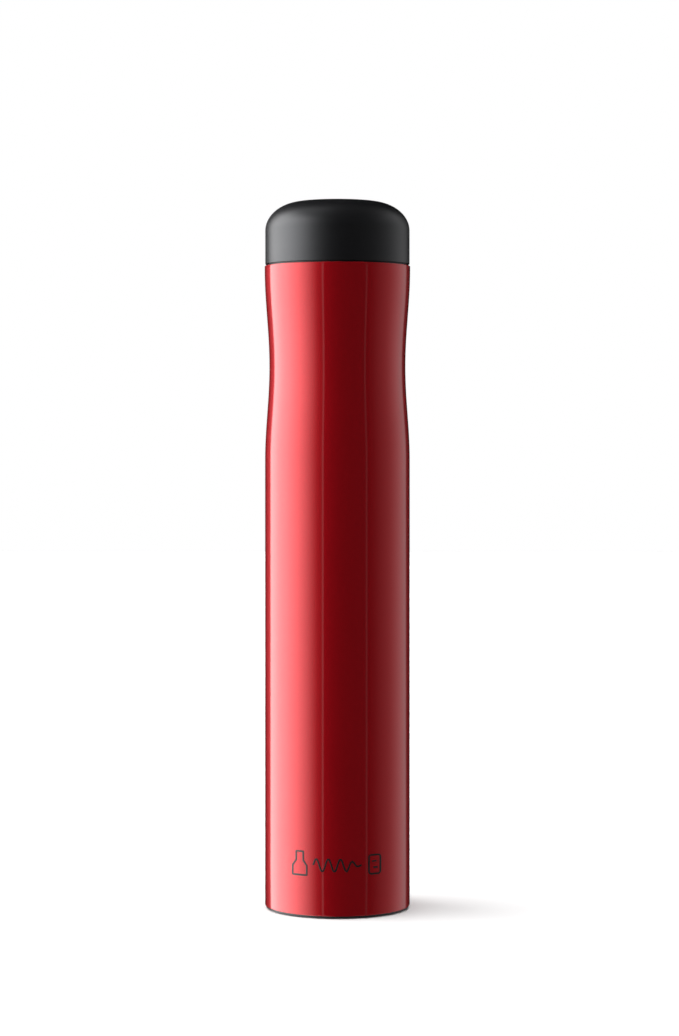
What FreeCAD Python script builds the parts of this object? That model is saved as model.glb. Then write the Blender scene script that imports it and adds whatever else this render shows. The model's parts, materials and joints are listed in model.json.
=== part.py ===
import FreeCAD, Part
import math
import os

# Electric wine opener: a slim upright body that is set over a bottle's neck. A worm on a planetary gear
# drive screws itself into the cork and lifts it into the cork tube. A lever at the side of the neck bore
# feels the bottle and starts the motor. Four cells stand above the motor, under a screw-on cap.
# Millimetres, +Z up, the origin at the centre of the foot pad's lower face. The front is -Y.
# Heights are stacked from the cap downwards, so the neck bore takes up whatever length is left.

V = FreeCAD.Vector
UP = V(0, 0, 1)
ACROSS = V(1, 0, 0)
FRONT_TO_REAR = V(0, 1, 0)
ORIGIN = V(0, 0, 0)

# ---- driving dimensions ----
OVERALL_HEIGHT = 245.1
BODY_DIAMETER = 50.2
RIM_FLARE = 0.15            # how much further out the sleeve's top rim stands than its straight part
WAIST_DEPTH = 1.5           # how far the waist is drawn in from the straight part
WAIST_BELOW_TOP = 57.6
WAIST_REACH_DOWN = 32.5
WAIST_REACH_UP = 34.5
SLEEVE_WALL = 0.8
CAP_HEIGHT = 21.7
CAP_WALL = 2.2
CAP_SHOULDER_ACROSS = 13.0  # half width of the cap's rounded shoulder, an ellipse
CAP_SHOULDER_DOWN = 10.4    # and its height
CAP_INSET = 0.05            # how far the cap's side stands inside the straight sleeve
SEAM_GAP = 0.9              # the dark groove between sleeve and cap

NECK_BORE = 33.2            # takes a bottle's lip of up to 31 mm
NECK_LINER_WALL = 1.8
CORK_BORE = 26.6
CORK_TUBE_WALL = 1.5
CORK_ROOM = 48.4            # from the lip stop up to the worm's hub
WORM_BELOW_STOP = 32.0      # how deep the worm stands in the cork when the lip meets its stop
WORM_PITCH = 9.0
WORM_WIRE = 2.8
WORM_DIAMETER = 9.2

CELL_DIAMETER = 14.2        # AA size
CELL_LENGTH = 50.5
CELL_GAP = 0.8
CELL_SPRING = 3.0           # height of a contact spring with the cells in

MOTOR_DIAMETER = 24.4
MOTOR_LENGTH = 30.8
MOTOR_SHAFT = 2.0
MOTOR_SCREW_PITCH = 17.0

GEAR_MODULE = 0.5
SUN_TEETH = 12
PLANET_TEETH = 24
RING_TEETH = SUN_TEETH + 2 * PLANET_TEETH
PLANETS = 3
PRESSURE_ANGLE = math.radians(25)
ADDENDUM = 0.9              # in modules
DEDENDUM = 1.2
BACKLASH = 0.12
INPUT_FACE = 5.0            # width of the first stage's teeth
OUTPUT_FACE = 6.0
PLANET_PIN = 2.0
OUTPUT_SHAFT = 6.0

CHASSIS_WALL = 1.6
RUNNING = 0.05              # radial play of a shaft or pin in its bore
FIT = 0.1                   # gap between pieces that are set into each other
SEAT = 0.05                 # gap under a piece that rests on another
LOOSE = 0.5                 # gap between pieces that pass each other

CAP_THREAD_LEAD = 10.0      # rise for one turn of the cap
CAP_THREAD_STARTS = 3
CAP_LUG_ANGLE = 50.0
THREAD_HEIGHT = 1.0
DISC_SCREW_THREAD = 1.1     # radii of the screw that the contact disc turns on
DISC_SCREW_SHOULDER = 1.6
DISC_SCREW_HEAD = 2.8

# ---- heights, from the cap down ----
SEAM_TOP = OVERALL_HEIGHT - CAP_HEIGHT           # the cap's lower edge
SLEEVE_TOP = SEAM_TOP - SEAM_GAP
CEILING = OVERALL_HEIGHT - CAP_WALL
DISC_THICKNESS = 2.0
DISC_BOSS = 1.4                                  # spacer between the cap's ceiling and the contact disc
DISC_TOP = CEILING - DISC_BOSS - FIT
DISC_BOTTOM = DISC_TOP - DISC_THICKNESS
DISC_SCREW_TOP = CEILING + 0.9
PLATE = 0.4                                      # contact plates
CELLS_TOP = DISC_BOTTOM - PLATE
CELLS_BOTTOM = CELLS_TOP - CELL_LENGTH - CELL_SPRING
TRAY_THICKNESS = 1.8
TRAY_TOP = CELLS_BOTTOM - PLATE
TRAY_BOTTOM = TRAY_TOP - TRAY_THICKNESS
WIRING_ROOM = 2.5                                # between motor and battery tray
MOTOR_TOP = TRAY_BOTTOM - WIRING_ROOM
MOTOR_FACE = MOTOR_TOP - MOTOR_LENGTH
MOTOR_PLATE = 2.5
PLATE_BOTTOM = MOTOR_FACE - MOTOR_PLATE
STAGE_GAP = 0.5
INPUT_PLANETS_TOP = PLATE_BOTTOM - 0.6
INPUT_PLANETS_BOTTOM = INPUT_PLANETS_TOP - INPUT_FACE
INPUT_CARRIER_TOP = INPUT_PLANETS_BOTTOM - STAGE_GAP
INPUT_CARRIER = 2.5
INPUT_CARRIER_BOTTOM = INPUT_CARRIER_TOP - INPUT_CARRIER
OUTPUT_PLANETS_TOP = INPUT_CARRIER_BOTTOM - STAGE_GAP
OUTPUT_PLANETS_BOTTOM = OUTPUT_PLANETS_TOP - OUTPUT_FACE
OUTPUT_CARRIER_TOP = OUTPUT_PLANETS_BOTTOM - STAGE_GAP
OUTPUT_CARRIER = 3.5
OUTPUT_CARRIER_BOTTOM = OUTPUT_CARRIER_TOP - OUTPUT_CARRIER
GEARBOX_FLOOR = 3.0
FLOOR_TOP = OUTPUT_CARRIER_BOTTOM - STAGE_GAP
FLOOR_BOTTOM = FLOOR_TOP - GEARBOX_FLOOR
BEARING_FLANGE = 1.0
HUB_TOP = FLOOR_BOTTOM - BEARING_FLANGE - 0.7
HUB_HEIGHT = 12.8
HUB_BOTTOM = HUB_TOP - HUB_HEIGHT
CUSHION = 1.8
LIP_STOP = HUB_BOTTOM - CORK_ROOM                # lower face of the cushion that the bottle's lip meets
CORK_TUBE_BOTTOM = LIP_STOP + CUSHION
WORM_TIP = LIP_STOP - WORM_BELOW_STOP
WORM_TOP = HUB_BOTTOM + 5.6                      # the worm is moulded into the hub up to here
COLLAR_DEPTH = 11.9
CHASSIS_TOP = SEAM_TOP - COLLAR_DEPTH
PAD = 0.3                                        # how far the foot pad stands below the base ring
BASE_LIP = 0.6
SLEEVE_BOTTOM = PAD + BASE_LIP
BASE_FLOOR = 4.0
BASE_TOP = 10.0

# ---- radii ----
BODY_RADIUS = BODY_DIAMETER / 2
RIM_RADIUS = BODY_RADIUS + RIM_FLARE
WAIST_RADIUS = BODY_RADIUS - WAIST_DEPTH
WAIST_Z = OVERALL_HEIGHT - WAIST_BELOW_TOP
CHASSIS_OUTER = WAIST_RADIUS - SLEEVE_WALL - LOOSE
CHASSIS_INNER = CHASSIS_OUTER - CHASSIS_WALL
SLEEVE_INNER = BODY_RADIUS - SLEEVE_WALL
NECK_RADIUS = NECK_BORE / 2
LINER_OUTER = NECK_RADIUS + NECK_LINER_WALL
CORK_RADIUS = CORK_BORE / 2
CORK_TUBE_OUTER = CORK_RADIUS + CORK_TUBE_WALL
CELL_RADIUS = CELL_DIAMETER / 2
CELL_OFFSET = (CELL_DIAMETER + CELL_GAP) / 2     # each cell's centre from both mid planes
CELL_ENVELOPE = CELL_OFFSET * math.sqrt(2) + CELL_RADIUS
MOTOR_RADIUS = MOTOR_DIAMETER / 2
SUN_PITCH = GEAR_MODULE * SUN_TEETH / 2
PLANET_PITCH = GEAR_MODULE * PLANET_TEETH / 2
RING_PITCH = GEAR_MODULE * RING_TEETH / 2
PLANET_ORBIT = SUN_PITCH + PLANET_PITCH
GEARBOX_WALL = 3.2
RING_ROOT = RING_PITCH + DEDENDUM * GEAR_MODULE
RING_TIP = RING_PITCH - ADDENDUM * GEAR_MODULE
GEARBOX_OUTER = RING_ROOT + GEARBOX_WALL
CARRIER_RADIUS = RING_TIP - 1.5
COLLAR_BORE = CHASSIS_INNER + 0.8
SPIGOT_OUTER = COLLAR_BORE - 0.3
SPIGOT_WALL = 1.8
COLLAR_OUTER = SLEEVE_INNER - 0.45
SCREW_SHANK = 1.0           # shank radius of the self-tapping screws
SCREW_HEAD = 1.9
SCREW_HEAD_HEIGHT = 1.3
CHASSIS_SCREW_X = CHASSIS_INNER - 2.8
BASE_SCREW_RADIUS = (LINER_OUTER + CHASSIS_INNER) / 2 + 0.3
COLLAR_SCREW_RADIUS = CHASSIS_INNER - 1.5
QUARTERS = (45, 135, 225, 315)

# ---- the lever that feels the bottle ----
LEVER_WIDTH = 3.6
LEVER_THICKNESS = 1.2
LEVER_BOSS = 1.3
LEVER_PIN = 0.6
PIVOT_Y = CORK_TUBE_OUTER + FIT + LEVER_BOSS
PIVOT_Z = CORK_TUBE_BOTTOM + 4.2
NUB_Z = WORM_TIP + 1.0                           # the lip presses the lever as the cork meets the worm
NUB_HALF = 3.0
NUB_REACH = 4.0                                  # how far the nub stands into the bore
NUB_TRAVEL = 3.0                                 # how far a bottle's neck pushes it out
ARM_INNER = max(NECK_RADIUS + 0.3, CORK_TUBE_OUTER + 2 * FIT)
ARM_OUTER = ARM_INNER + LEVER_THICKNESS
FOOT_HALF = 0.8
FOOT_LENGTH = 3.7
PLUNGER_Y = PIVOT_Y + 3.0
SWITCH_BOTTOM = PIVOT_Z + 2.4
SWITCH_HEIGHT = 5.0
SWITCH_HALF_LENGTH = 4.0
SWITCH_INNER = CORK_TUBE_OUTER + 0.4
SWITCH_OUTER = PLUNGER_Y + 0.8
CHEEK = 1.5                                      # walls of the chassis beside the switch and lever

# ---- the control board ----
BOARD_THICKNESS = 1.2
BOARD_HALF_WIDTH = 11.0
BOARD_INNER = MOTOR_RADIUS + 2.4
BOARD_OUTER = BOARD_INNER + BOARD_THICKNESS
BOARD_BOTTOM = MOTOR_FACE + 5.0
BOARD_TOP = MOTOR_TOP - 1.3

# ---- wires ----
LEAD = 1.1                                       # outer diameter of the insulated wires
LEAD_BEND = 1.3
LEAD_CHANNEL_Y = GEARBOX_OUTER + 0.95            # where the switch's wires pass the gearbox
LEAD_CHANNEL_HALF = 4.0


# ---- shapes that repeat ----
def disc(radius, low, high):
    """A round disc or rod on the body's axis."""
    return Part.makeCylinder(radius, high - low, V(0, 0, low))


def ring(outer, inner, low, high):
    """A round sleeve on the body's axis."""
    return disc(outer, low, high).cut(disc(inner, low - 1, high + 1))


def rod(radius, start, end):
    """A round rod between two points."""
    along = end - start
    return Part.makeCylinder(radius, along.Length, start, along)


def block(x, y, z):
    """A box from (low, high) pairs along each axis."""
    return Part.makeBox(x[1] - x[0], y[1] - y[0], z[1] - z[0], V(x[0], y[0], z[0]))


def fused(shapes):
    """One solid from pieces that touch or overlap."""
    whole = shapes[0]
    for shape in shapes[1:]:
        whole = whole.fuse(shape)
    return whole.removeSplitter()


def turned(edges):
    """The solid that a closed outline in the XZ plane sweeps round the body's axis."""
    return Part.Face(Part.Wire(edges)).revolve(ORIGIN, UP, 360)


def lines(points):
    """Straight edges through (radius, height) points in the XZ plane."""
    at = [V(r, 0, z) for r, z in points]
    return [Part.LineSegment(a, b).toShape() for a, b in zip(at, at[1:])]


def lathe(points):
    """A turned solid whose outline has straight sides only."""
    return turned(lines(points + points[:1]))


def around(shape, angles):
    """Copies of a shape, turned about the body's axis by these degrees."""
    copies = []
    for angle in angles:
        copy = shape.copy()
        copy.rotate(ORIGIN, UP, angle)
        copies.append(copy)
    return copies


def polar(radius, degrees, height=0.0):
    """The point at this radius, angle and height."""
    angle = math.radians(degrees)
    return V(radius * math.cos(angle), radius * math.sin(angle), height)


def coil(radius, pitch, height, wire, start, flats=0):
    """A wire, round or with flats, wound into a right-handed coil, from a start height on the axis."""
    path = Part.makeHelix(pitch, height, radius)
    tangent = V(0, 2 * math.pi * radius, pitch)
    if flats:
        across, up = V(wire / 2, 0, 0), tangent.cross(V(1, 0, 0)).normalize() * (wire / 2)
        turns = [2 * math.pi * (k + 0.5) / flats for k in range(flats + 1)]
        section = Part.makePolygon([V(radius, 0, 0) + across * math.cos(a) + up * math.sin(a) for a in turns])
    else:
        section = Part.Wire(Part.makeCircle(wire / 2, V(radius, 0, 0), tangent))
    sweep = Part.BRepOffsetAPI.MakePipeShell(path)
    sweep.setFrenetMode(True)
    sweep.add(section)
    sweep.build()
    sweep.makeSolid()
    shape = sweep.shape()
    shape.translate(V(0, 0, start))
    return shape


def screw(tip, along, length, shank=SCREW_SHANK, head=SCREW_HEAD, head_height=SCREW_HEAD_HEIGHT):
    """A pan-head screw with a cross slot. Its head stands behind the point where the shank starts."""
    axis = V(along).normalize()
    seat = tip - axis * length
    top = seat - axis * head_height
    side = axis.cross(UP if abs(axis.z) < 0.9 else ACROSS).normalize()
    other = axis.cross(side)
    body = fused([rod(shank, seat, tip), rod(head, top, seat)])
    slot_half = 0.3
    slot_reach = 0.65 * head
    for a, b in ((side, other), (other, side)):
        corners = [a * x + b * y for x, y in ((-slot_reach, -slot_half), (slot_reach, -slot_half),
                                              (slot_reach, slot_half), (-slot_reach, slot_half))]
        outline = Part.makePolygon([top + c for c in corners + corners[:1]])
        body = body.cut(Part.Face(outline).extrude(axis * (0.5 * head_height)))
    return body


def lead(points, bend=LEAD_BEND, diameter=LEAD):
    """An insulated wire along straight runs that are joined by tangent arcs."""
    edges = []
    here = points[0]
    for before, corner, after in zip(points, points[1:], points[2:]):
        back = (before - corner).normalize()
        on = (after - corner).normalize()
        half = back.getAngle(on) / 2
        trim = bend / math.tan(half)
        start = corner + back * trim
        end = corner + on * trim
        centre = corner + (back + on).normalize() * (bend / math.sin(half))
        middle = centre + (corner - centre).normalize() * bend
        edges.append(Part.LineSegment(here, start).toShape())
        edges.append(Part.Arc(start, middle, end).toShape())
        here = end
    edges.append(Part.LineSegment(here, points[-1]).toShape())
    section = Part.Wire(Part.makeCircle(diameter / 2, points[0], points[1] - points[0]))
    return Part.Wire(edges).makePipeShell([section], True, False)


# ---- gears ----
def involute(angle):
    """The involute function."""
    return math.tan(angle) - angle


def gear_prism(teeth, tip, root, thickening, phase, low, high):
    """A prism of gear teeth. Teeth are centred at phase degrees, and thickening is added to their width."""
    pitch = GEAR_MODULE * teeth / 2
    base = pitch * math.cos(PRESSURE_ANGLE)
    at_pitch = math.pi / (2 * teeth) + thickening / (2 * pitch)
    first = max(root, base)
    steps = 4
    radii = [first + (tip - first) * k / (steps - 1) for k in range(steps)]
    halves = [at_pitch + involute(PRESSURE_ANGLE) - involute(math.acos(min(1, base / r))) for r in radii]
    if root < first:
        radii.insert(0, root)
        halves.insert(0, halves[0])
    outline = []
    for k in range(teeth):
        centre = math.radians(phase) + 2 * math.pi * k / teeth
        outline += [(r, centre - h) for r, h in zip(radii, halves)]
        outline += [(r, centre + h) for r, h in zip(reversed(radii), reversed(halves))]
    points = [V(r * math.cos(a), r * math.sin(a), low) for r, a in outline]
    return Part.Face(Part.makePolygon(points + points[:1])).extrude(V(0, 0, high - low))


def outer_gear(teeth, phase, low, high):
    """An external gear on the body's axis."""
    pitch = GEAR_MODULE * teeth / 2
    tip = pitch + ADDENDUM * GEAR_MODULE
    root = pitch - DEDENDUM * GEAR_MODULE
    return gear_prism(teeth, tip, root, -BACKLASH / 2, phase, low, high)


def planet(angle, low, high):
    """A planet gear with its bore, standing at this angle with a tooth gap towards the axis."""
    gear = outer_gear(PLANET_TEETH, angle + 180 / PLANET_TEETH, low, high)
    gear = gear.cut(disc(PLANET_PIN / 2 + RUNNING, low - 1, high + 1))
    gear.translate(polar(PLANET_ORBIT, angle))
    return gear


PLANET_ANGLES = [360 / PLANETS * k for k in range(PLANETS)]


def planet_pins(low, high):
    """The pins that a stage's planets turn on."""
    return [rod(PLANET_PIN / 2, polar(PLANET_ORBIT, a, low), polar(PLANET_ORBIT, a, high))
            for a in PLANET_ANGLES]


# ---- the outer shell ----
def sleeve_radius(z):
    """The sleeve's outer radius at a height: a straight tube with one soft waist below its rim."""
    above = z > WAIST_Z
    full = RIM_RADIUS if above else BODY_RADIUS
    reach = WAIST_REACH_UP if above else WAIST_REACH_DOWN
    share = min(1.0, abs(z - WAIST_Z) / reach)
    return full - (full - WAIST_RADIUS) * (1 + math.cos(math.pi * share)) / 2


def waist_curve(inset, top):
    """The curved part of the sleeve's wall, from the straight part up to a height."""
    start = WAIST_Z - WAIST_REACH_DOWN
    steps = 16
    heights = [start + (top - start) * k / steps for k in range(steps + 1)]
    curve = Part.BSplineCurve()
    curve.interpolate([V(sleeve_radius(z) - inset, 0, z) for z in heights])
    return curve.toShape()


def outer_sleeve():
    """The painted metal tube, with its rim and foot edges eased."""
    ease = 0.25
    top = SLEEVE_TOP - ease
    outer = waist_curve(0, top)
    inner = waist_curve(SLEEVE_WALL, top)
    rim = sleeve_radius(top)
    straight_top = WAIST_Z - WAIST_REACH_DOWN
    edges = lines([(SLEEVE_INNER, straight_top), (SLEEVE_INNER, SLEEVE_BOTTOM + ease),
                   (SLEEVE_INNER + ease, SLEEVE_BOTTOM), (BODY_RADIUS - ease, SLEEVE_BOTTOM),
                   (BODY_RADIUS, SLEEVE_BOTTOM + ease), (BODY_RADIUS, straight_top)])
    edges += [outer]
    edges += lines([(rim, top), (rim - ease, SLEEVE_TOP), (rim - SLEEVE_WALL + ease, SLEEVE_TOP),
                    (rim - SLEEVE_WALL, top)])
    edges += [inner]
    return turned(edges)


def shoulder(radius, across, down, top):
    """A quarter ellipse from a cap's side to its flat top, in the XZ plane."""
    centre = V(radius - across, 0, top - down)
    side = centre + V(across, 0, 0)
    crown = centre + V(0, 0, down)
    longer, shorter = (side, crown) if across >= down else (crown, side)
    curve = Part.Ellipse(longer, shorter, centre)
    middle = centre + V(across * math.sqrt(0.5), 0, down * math.sqrt(0.5))
    first, mid, last = (curve.parameter(p) for p in (side, middle, crown))
    low, high = min(first, last), max(first, last)
    if not low < mid < high:
        low, high = high, low + 2 * math.pi
    return Part.ArcOfEllipse(curve, low, high).toShape()


def cap_profile(radius, across, down, top, bottom):
    """A solid cap shape: straight side, elliptical shoulder and flat crown."""
    side_top = top - down
    crown = radius - across
    edges = lines([(0, top), (0, bottom), (radius, bottom), (radius, side_top)])
    edges += [shoulder(radius, across, down, top)]
    edges += lines([(crown, top), (0, top)])
    return turned(edges)


def helical_lug(radius, depth, clearance, start, degrees):
    """One start of the cap's thread: a ridge that climbs round the spigot over some degrees."""
    root_half = 0.9 + clearance
    tip_half = 0.45 + clearance
    bite = 0.4                                   # how deep the ridge is rooted in the spigot
    path = Part.makeHelix(CAP_THREAD_LEAD, CAP_THREAD_LEAD * degrees / 360, radius)
    low = radius - bite
    high = radius + depth + clearance
    outline = [V(low, 0, -root_half), V(high, 0, -tip_half), V(high, 0, tip_half), V(low, 0, root_half)]
    sweep = Part.BRepOffsetAPI.MakePipeShell(path)
    sweep.setFrenetMode(True)
    sweep.add(Part.makePolygon(outline + outline[:1]))
    sweep.build()
    sweep.makeSolid()
    shape = sweep.shape()
    shape.translate(V(0, 0, start))
    return shape


SPIGOT_BOTTOM = CHASSIS_TOP + 2.7
LUG_START = SPIGOT_BOTTOM + 1.3                  # middle of a lug's lower end, with the cap shut
THREAD_ANGLES = [360 / CAP_THREAD_STARTS * k for k in range(CAP_THREAD_STARTS)]


def battery_cap():
    """The screw-on cap: a hollow dome, a spigot with three thread lugs, and a boss for the contact disc."""
    radius = BODY_RADIUS - CAP_INSET
    dome = cap_profile(radius, CAP_SHOULDER_ACROSS, CAP_SHOULDER_DOWN, OVERALL_HEIGHT, SEAM_TOP)
    hollow = cap_profile(radius - CAP_WALL, CAP_SHOULDER_ACROSS - CAP_WALL, CAP_SHOULDER_DOWN - CAP_WALL,
                         CEILING, SEAM_TOP - 1)
    web = ring(radius - CAP_WALL / 2, SPIGOT_OUTER - SPIGOT_WALL, SEAM_TOP, SEAM_TOP + 1.6)
    spigot = ring(SPIGOT_OUTER, SPIGOT_OUTER - SPIGOT_WALL, SPIGOT_BOTTOM, SEAM_TOP + 1.6)
    boss = disc(4.0, CEILING - DISC_BOSS, CEILING + 0.5)
    lug = helical_lug(SPIGOT_OUTER, THREAD_HEIGHT, 0.0, LUG_START, CAP_LUG_ANGLE)
    shell = fused([dome.cut(hollow), web, spigot, boss] + around(lug, THREAD_ANGLES))
    pilot = disc(DISC_SCREW_THREAD, CEILING - DISC_BOSS - 1, DISC_SCREW_TOP)
    return shell.cut(pilot)


def cap_seal():
    """A rubber ring round the top of the cap's spigot."""
    thickness = 0.5
    seal = Part.makeTorus(SPIGOT_OUTER + thickness, thickness, V(0, 0, SEAM_TOP - 0.65), UP)
    return seal


def disc_screw():
    """The shoulder screw in the cap that the contact disc turns on."""
    head_top = DISC_BOTTOM - FIT
    head = disc(DISC_SCREW_HEAD, head_top - 1.2, head_top)
    slot = block((-2.0, 2.0), (-0.35, 0.35), (head_top - 2, head_top - 0.6))
    return fused([disc(DISC_SCREW_THREAD, DISC_TOP, DISC_SCREW_TOP),
                  disc(DISC_SCREW_SHOULDER, head_top, CEILING - DISC_BOSS),
                  head.cut(slot)])


def top_collar():
    """The ring that closes the sleeve's top. The cap's thread runs in its three grooves."""
    floor = 2.0
    lip = BODY_RADIUS - 0.8
    body = lathe([(COLLAR_BORE, SEAM_TOP - FIT), (lip, SEAM_TOP - FIT), (lip, SLEEVE_TOP + 0.02),
                  (COLLAR_OUTER, SLEEVE_TOP + 0.02), (COLLAR_OUTER, CHASSIS_TOP),
                  (CELL_ENVELOPE + 0.6, CHASSIS_TOP), (CELL_ENVELOPE + 0.6, CHASSIS_TOP + floor),
                  (COLLAR_BORE, CHASSIS_TOP + floor)])
    chamfer = 1.4
    mouth = lathe([(COLLAR_BORE - 1, SEAM_TOP - FIT - 1.6), (COLLAR_BORE, SEAM_TOP - FIT - 1.6),
                   (COLLAR_BORE + chamfer, SEAM_TOP), (COLLAR_BORE - 1, SEAM_TOP)])
    body = body.cut(mouth)
    play = 0.2
    rise = SEAM_TOP - LUG_START + 2
    turn = 360 * rise / CAP_THREAD_LEAD
    groove = helical_lug(SPIGOT_OUTER, THREAD_HEIGHT, play, LUG_START - 0.4, turn)
    groove.rotate(ORIGIN, UP, -360 * 0.4 / CAP_THREAD_LEAD)
    for cut in around(groove, THREAD_ANGLES):
        body = body.cut(cut)
    for y in (-COLLAR_SCREW_RADIUS, COLLAR_SCREW_RADIUS):
        seat = V(0, y, CHASSIS_TOP + floor - SCREW_HEAD_HEIGHT)
        body = body.cut(rod(SCREW_SHANK + 0.15, seat - UP * 3, seat + UP * 3))
        body = body.cut(rod(SCREW_HEAD + 0.1, seat, seat + UP * 3))
    return body


def collar_screws():
    """Two screws that hold the collar down on the chassis."""
    seat = CHASSIS_TOP + 2.0 - SCREW_HEAD_HEIGHT
    length = 6.0
    return [screw(V(0, y, seat - length), -UP, length) for y in (-COLLAR_SCREW_RADIUS, COLLAR_SCREW_RADIUS)]


# ---- the base ----
PAD_INNER = NECK_RADIUS + 2.1
PAD_OUTER = BODY_RADIUS - 1.6
PAD_THICKNESS = 1.5


def base_ring():
    """The moulded foot: a floor with a funnel for the bottle, a spigot and a locating ridge."""
    lip = BODY_RADIUS - 0.35
    spigot = SLEEVE_INNER - FIT
    funnel = NECK_RADIUS + 1.4
    profile = [(funnel, PAD), (lip, PAD), (lip, SLEEVE_BOTTOM - 0.02), (spigot, SLEEVE_BOTTOM - 0.02),
               (spigot, BASE_TOP), (CHASSIS_OUTER + FIT, BASE_TOP), (CHASSIS_OUTER + FIT, BASE_FLOOR),
               (CHASSIS_INNER - FIT, BASE_FLOOR), (CHASSIS_INNER - FIT, BASE_FLOOR + 3),
               (LINER_OUTER + FIT, BASE_FLOOR + 3), (LINER_OUTER + FIT, BASE_FLOOR),
               (NECK_RADIUS, BASE_FLOOR), (NECK_RADIUS, PAD + 1.8)]
    body = lathe(profile).cut(ring(PAD_OUTER + FIT, PAD_INNER - FIT, PAD - 1, PAD_THICKNESS + 0.01))
    for angle in QUARTERS:
        at = polar(BASE_SCREW_RADIUS, angle)
        body = body.cut(rod(SCREW_HEAD + FIT, at, at + UP * (PAD_THICKNESS + SCREW_HEAD_HEIGHT + 0.1)))
        body = body.cut(rod(SCREW_SHANK + 0.15, at, at + UP * BASE_TOP))
    return body


def foot_pad():
    """The soft ring that the opener stands on. It also covers the base screws."""
    return ring(PAD_OUTER, PAD_INNER, 0, PAD_THICKNESS)


def base_screws():
    """Four screws from below, through the base ring into the chassis."""
    seat = PAD_THICKNESS + SCREW_HEAD_HEIGHT + 0.1
    length = 9.0
    return [screw(polar(BASE_SCREW_RADIUS, a, seat + length), UP, length) for a in QUARTERS]


# ---- what the bottle and cork go into ----
def rib_ring(count, inner, outer, width, low, high):
    """Ribs inside a tube. Their lower ends are cut slanting, so that nothing catches on them."""
    slant = 1.5 * (outer - inner)
    outline = [V(inner, 0, low + slant), V(inner, 0, high), V(outer, 0, high), V(outer, 0, low)]
    rib = Part.Face(Part.makePolygon(outline + outline[:1])).extrude(V(0, width, 0))
    rib.translate(V(0, -width / 2, 0))
    return around(rib, [360 / count * (k + 0.5) for k in range(count)])


LINER_BOTTOM = BASE_FLOOR + SEAT
LINER_STEP = 25.0            # the close bore for the neck ends here, below the ribs and the worm's tip
LINER_RELIEF = 0.3           # how much wider the liner is above the step
LINER_RIBS = 8
LINER_RIB_HEIGHT = 0.9


def neck_liner():
    """The bore for the bottle's neck, with guide ribs and a slot for the lever."""
    wall = ring(LINER_OUTER, NECK_RADIUS, LINER_BOTTOM, CORK_TUBE_BOTTOM)
    wall = wall.cut(disc(NECK_RADIUS + LINER_RELIEF, LINER_STEP, CORK_TUBE_BOTTOM + 1))
    ribs = rib_ring(LINER_RIBS, NECK_RADIUS - LINER_RIB_HEIGHT, NECK_RADIUS + 0.5, 1.6,
                    WORM_TIP - 4, LIP_STOP - 0.5)
    slot_half = LEVER_WIDTH / 2 + 0.4
    slot = block((-slot_half, slot_half), (NECK_RADIUS - 2, LINER_OUTER + 1),
                 (NUB_Z - NUB_HALF - 1.5, CORK_TUBE_BOTTOM + 1))
    return fused([wall] + ribs).cut(slot)


def lip_cushion():
    """The soft ring that the bottle's lip stops against."""
    return ring(NECK_RADIUS + LINER_RELIEF - 0.2, CORK_RADIUS - 0.9, LIP_STOP, CORK_TUBE_BOTTOM)


CORK_RIBS = 6
CORK_TUBE_TOP = FLOOR_BOTTOM - 3.9
CORK_FLANGE = 2.0


def cork_tube():
    """The tube that the cork is drawn into. Its ribs keep the cork from turning with the worm."""
    wall = ring(CORK_TUBE_OUTER, CORK_RADIUS, CORK_TUBE_BOTTOM, CORK_TUBE_TOP)
    foot = ring(LINER_OUTER, CORK_RADIUS, CORK_TUBE_BOTTOM, CORK_TUBE_BOTTOM + 1.6)
    head = ring(CHASSIS_INNER - 0.3, CORK_RADIUS, CORK_TUBE_TOP - CORK_FLANGE, CORK_TUBE_TOP)
    ribs = rib_ring(CORK_RIBS, CORK_RADIUS - 1.1, CORK_RADIUS + 0.5, 1.2,
                    CORK_TUBE_BOTTOM + 1, HUB_BOTTOM - 0.6)
    notch_half = LEVER_WIDTH / 2 + 0.6
    notch = block((-notch_half, notch_half), (CORK_TUBE_OUTER + 0.05, CHASSIS_INNER),
                  (CORK_TUBE_BOTTOM - 1, CORK_TUBE_BOTTOM + 3))
    channel = block((-LEAD_CHANNEL_HALF, LEAD_CHANNEL_HALF), (GEARBOX_OUTER, CHASSIS_INNER + 1),
                    (CORK_TUBE_TOP - 5, CORK_TUBE_TOP + 1))
    return fused([wall, foot, head] + ribs).cut(notch).cut(channel)


# ---- the worm and its drive ----
def worm():
    """The open steel coil that screws into the cork, with its lower end drawn out to a point."""
    radius = (WORM_DIAMETER - WORM_WIRE) / 2
    taper_turns = 0.7
    taper = taper_turns * WORM_PITCH
    start = WORM_TIP + 0.3
    body = coil(radius, WORM_PITCH, WORM_TOP - start - taper - WORM_WIRE / 2, WORM_WIRE, 0)
    path = Part.makeHelix(WORM_PITCH, taper, radius)
    tangent = V(0, 2 * math.pi * radius, WORM_PITCH)
    thin = Part.Wire(Part.makeCircle(0.12, V(radius, 0, 0), tangent))
    thick = Part.Wire(Part.makeCircle(WORM_WIRE / 2, V(radius, 0, 0), tangent))
    thick.rotate(ORIGIN, UP, 360 * taper_turns)
    thick.translate(V(0, 0, taper))
    sweep = Part.BRepOffsetAPI.MakePipeShell(path)
    sweep.setFrenetMode(True)
    sweep.add(thin)
    sweep.add(thick)
    sweep.build()
    sweep.makeSolid()
    point = sweep.shape()
    body.rotate(ORIGIN, UP, 360 * taper_turns)
    body.translate(V(0, 0, taper))
    whole = point.fuse(body).removeSplitter()
    whole.translate(V(0, 0, start))
    return whole


HUB_RADIUS = 7.0
SHAFT_RADIUS = OUTPUT_SHAFT / 2
SHAFT_FLAT = SHAFT_RADIUS - 0.5
HUB_PIN_Z = HUB_TOP - 3.5


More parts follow.
